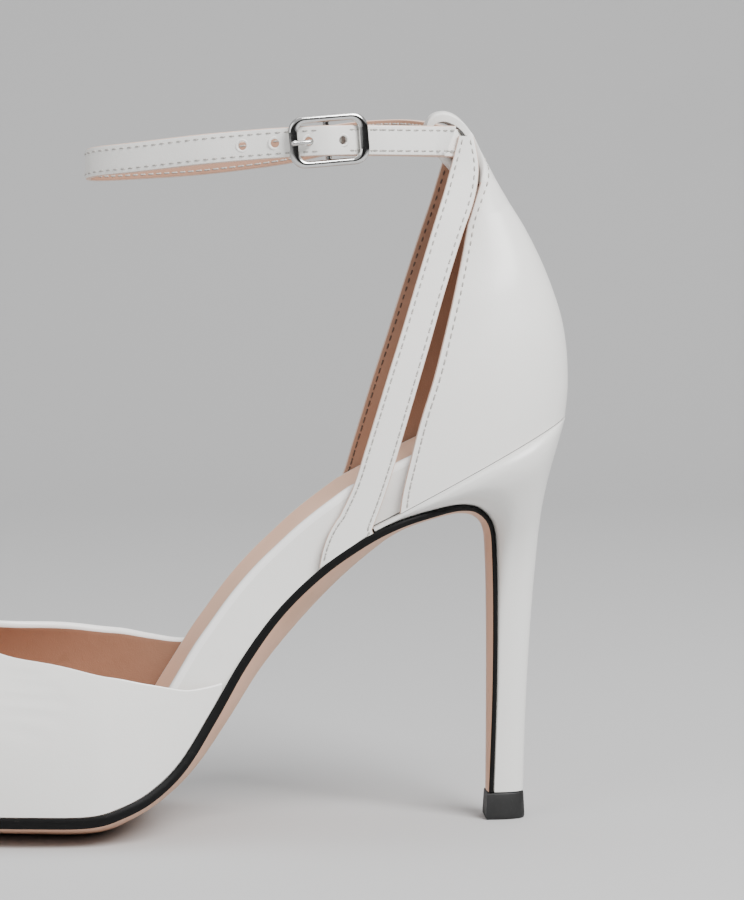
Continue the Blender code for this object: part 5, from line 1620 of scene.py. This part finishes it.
@dataclass(frozen=True)
class Studio:
    """The floor, the backdrop, the lights and the camera."""

    camera_place: tuple[float, float, float] = (0.0917, 0.8156, 0.1572)
    lens: float = 125.96
    turn: float = 4.0
    pitch: float = 4.2136
    room: float = 0.58
    below: tuple[float, float, float, float] = (0.32, 0.32, 0.32, 1.0)
    above: tuple[float, float, float, float] = (1.25, 1.25, 1.27, 1.0)
    bands: Table = ((0.46, 0.08), (0.61, 0.03), (0.66, 0.98))
    lamps: tuple = (
        ("key", (-0.55, 0.75, 1.05), (0.03, 0.0, 0.08), 0.7, 33.0),
        ("fill", (1.0, 0.9, 0.7), (0.08, 0.0, 0.05), 1.0, 6.0),
        ("back_wall", (0.0, -0.6, 1.9), (0.0, -1.6, 0.6), 1.4, 12.0),
    )

    def sweep(self, bench: Bench) -> None:
        """A paper sweep: the floor runs back and curves up into the backdrop."""
        front, depth, radius, height, half = 8.0, -1.6, 0.7, 2.6, 6.0
        line = [(front, 0.0), (1.0, 0.0), (0.0, 0.0), (-0.5, 0.0), (depth + radius, 0.0)]
        line += [
            (depth + radius - radius * math.sin(a), radius - radius * math.cos(a))
            for a in np.radians(np.arange(6, 91, 6))
        ]
        line.append((depth, height))
        verts = [(x, y, z) for y, z in line for x in (-half, half)]
        faces = [(2 * i, 2 * i + 1, 2 * i + 3, 2 * i + 2) for i in range(len(line) - 1)]
        data = bpy.data.meshes.new("studio_sweep")
        data.from_pydata(verts, [], faces)
        bench.object("studio_sweep", data, (STUDIO,), 60.0)

    def lamp(self, name: str, place: Sequence[float], aim: Sequence[float], size: float,
             power: float) -> None:
        """A soft square light aimed at a point.

        Args:
            name: the light's name.
            place: where it stands.
            aim: the point that it faces.
            size: the length of its side.
            power: its power in watts.
        """
        data = bpy.data.lights.new(name, "AREA")
        data.size = size
        data.energy = power
        light = bpy.data.objects.new(name, data)
        light.location = place
        light.rotation_euler = (Vector(aim) - Vector(place)).to_track_quat("-Z", "Y").to_euler()
        bpy.context.scene.collection.objects.link(light)

    def soft_room(self) -> None:
        """Lights the whole room softly from above, with a dark band for the chrome to mirror."""
        world = bpy.data.worlds.new("soft_room")
        world.use_nodes = True
        tree, background = world.node_tree, world.node_tree.nodes["Background"]
        place = tree.nodes.new("ShaderNodeTexCoord")
        split = tree.nodes.new("ShaderNodeSeparateXYZ")
        ramp = tree.nodes.new("ShaderNodeValToRGB")
        lift = tree.nodes.new("ShaderNodeMapRange")
        lift.inputs["From Min"].default_value = -1.0
        tree.links.new(place.outputs["Generated"], split.inputs["Vector"])
        tree.links.new(split.outputs["Z"], lift.inputs["Value"])
        tree.links.new(lift.outputs["Result"], ramp.inputs["Fac"])
        tree.links.new(ramp.outputs["Color"], background.inputs["Color"])
        ramp.color_ramp.elements[0].color = self.below
        ramp.color_ramp.elements[1].color = self.above
        for at, tone in self.bands:
            ramp.color_ramp.elements.new(at).color = (tone, tone, tone, 1.0)
        background.inputs["Strength"].default_value = self.room
        bpy.context.scene.world = world

    def camera(self) -> None:
        """Stands the camera where the photo was taken from."""
        data = bpy.data.cameras.new("photo_camera")
        data.lens = self.lens
        data.sensor_width = 36.0
        data.sensor_fit = "AUTO"
        data.clip_start = 0.01
        camera = bpy.data.objects.new("photo_camera", data)
        turn, pitch = math.radians(self.turn), math.radians(self.pitch)
        level = math.cos(pitch)
        ahead = Vector((-math.sin(turn) * level, -math.cos(turn) * level, -math.sin(pitch)))
        camera.location = self.camera_place
        camera.rotation_euler = ahead.to_track_quat("-Z", "Y").to_euler()
        bpy.context.scene.collection.objects.link(camera)
        bpy.context.scene.camera = camera

    def build(self, bench: Bench) -> None:
        """Sets the studio up."""
        self.sweep(bench)
        self.soft_room()
        for lamp in self.lamps:
            self.lamp(*lamp)
        self.camera()


def main() -> None:
    """Builds the shoe piece by piece round its CAD frame, then the studio."""
    logging.basicConfig(level=logging.INFO, format="%(message)s")
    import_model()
    bench = Bench(Workshop())
    sewing = Sewing(StitchTree())
    last = Last()
    Bottom(last).build(bench)
    Vamp(last).build(bench)
    CounterPiece(last).build(bench, sewing)
    SideStrap(last, Side.LATERAL, (0.0490, 0.905, 1.0)).build(bench, sewing)
    SideStrap(last, Side.MEDIAL, (0.0590, 0.864, 0.90)).build(bench, sewing)
    AnkleStrap(last).build(bench, sewing)
    Studio().build(bench)


if __name__ == "__main__":
    main()
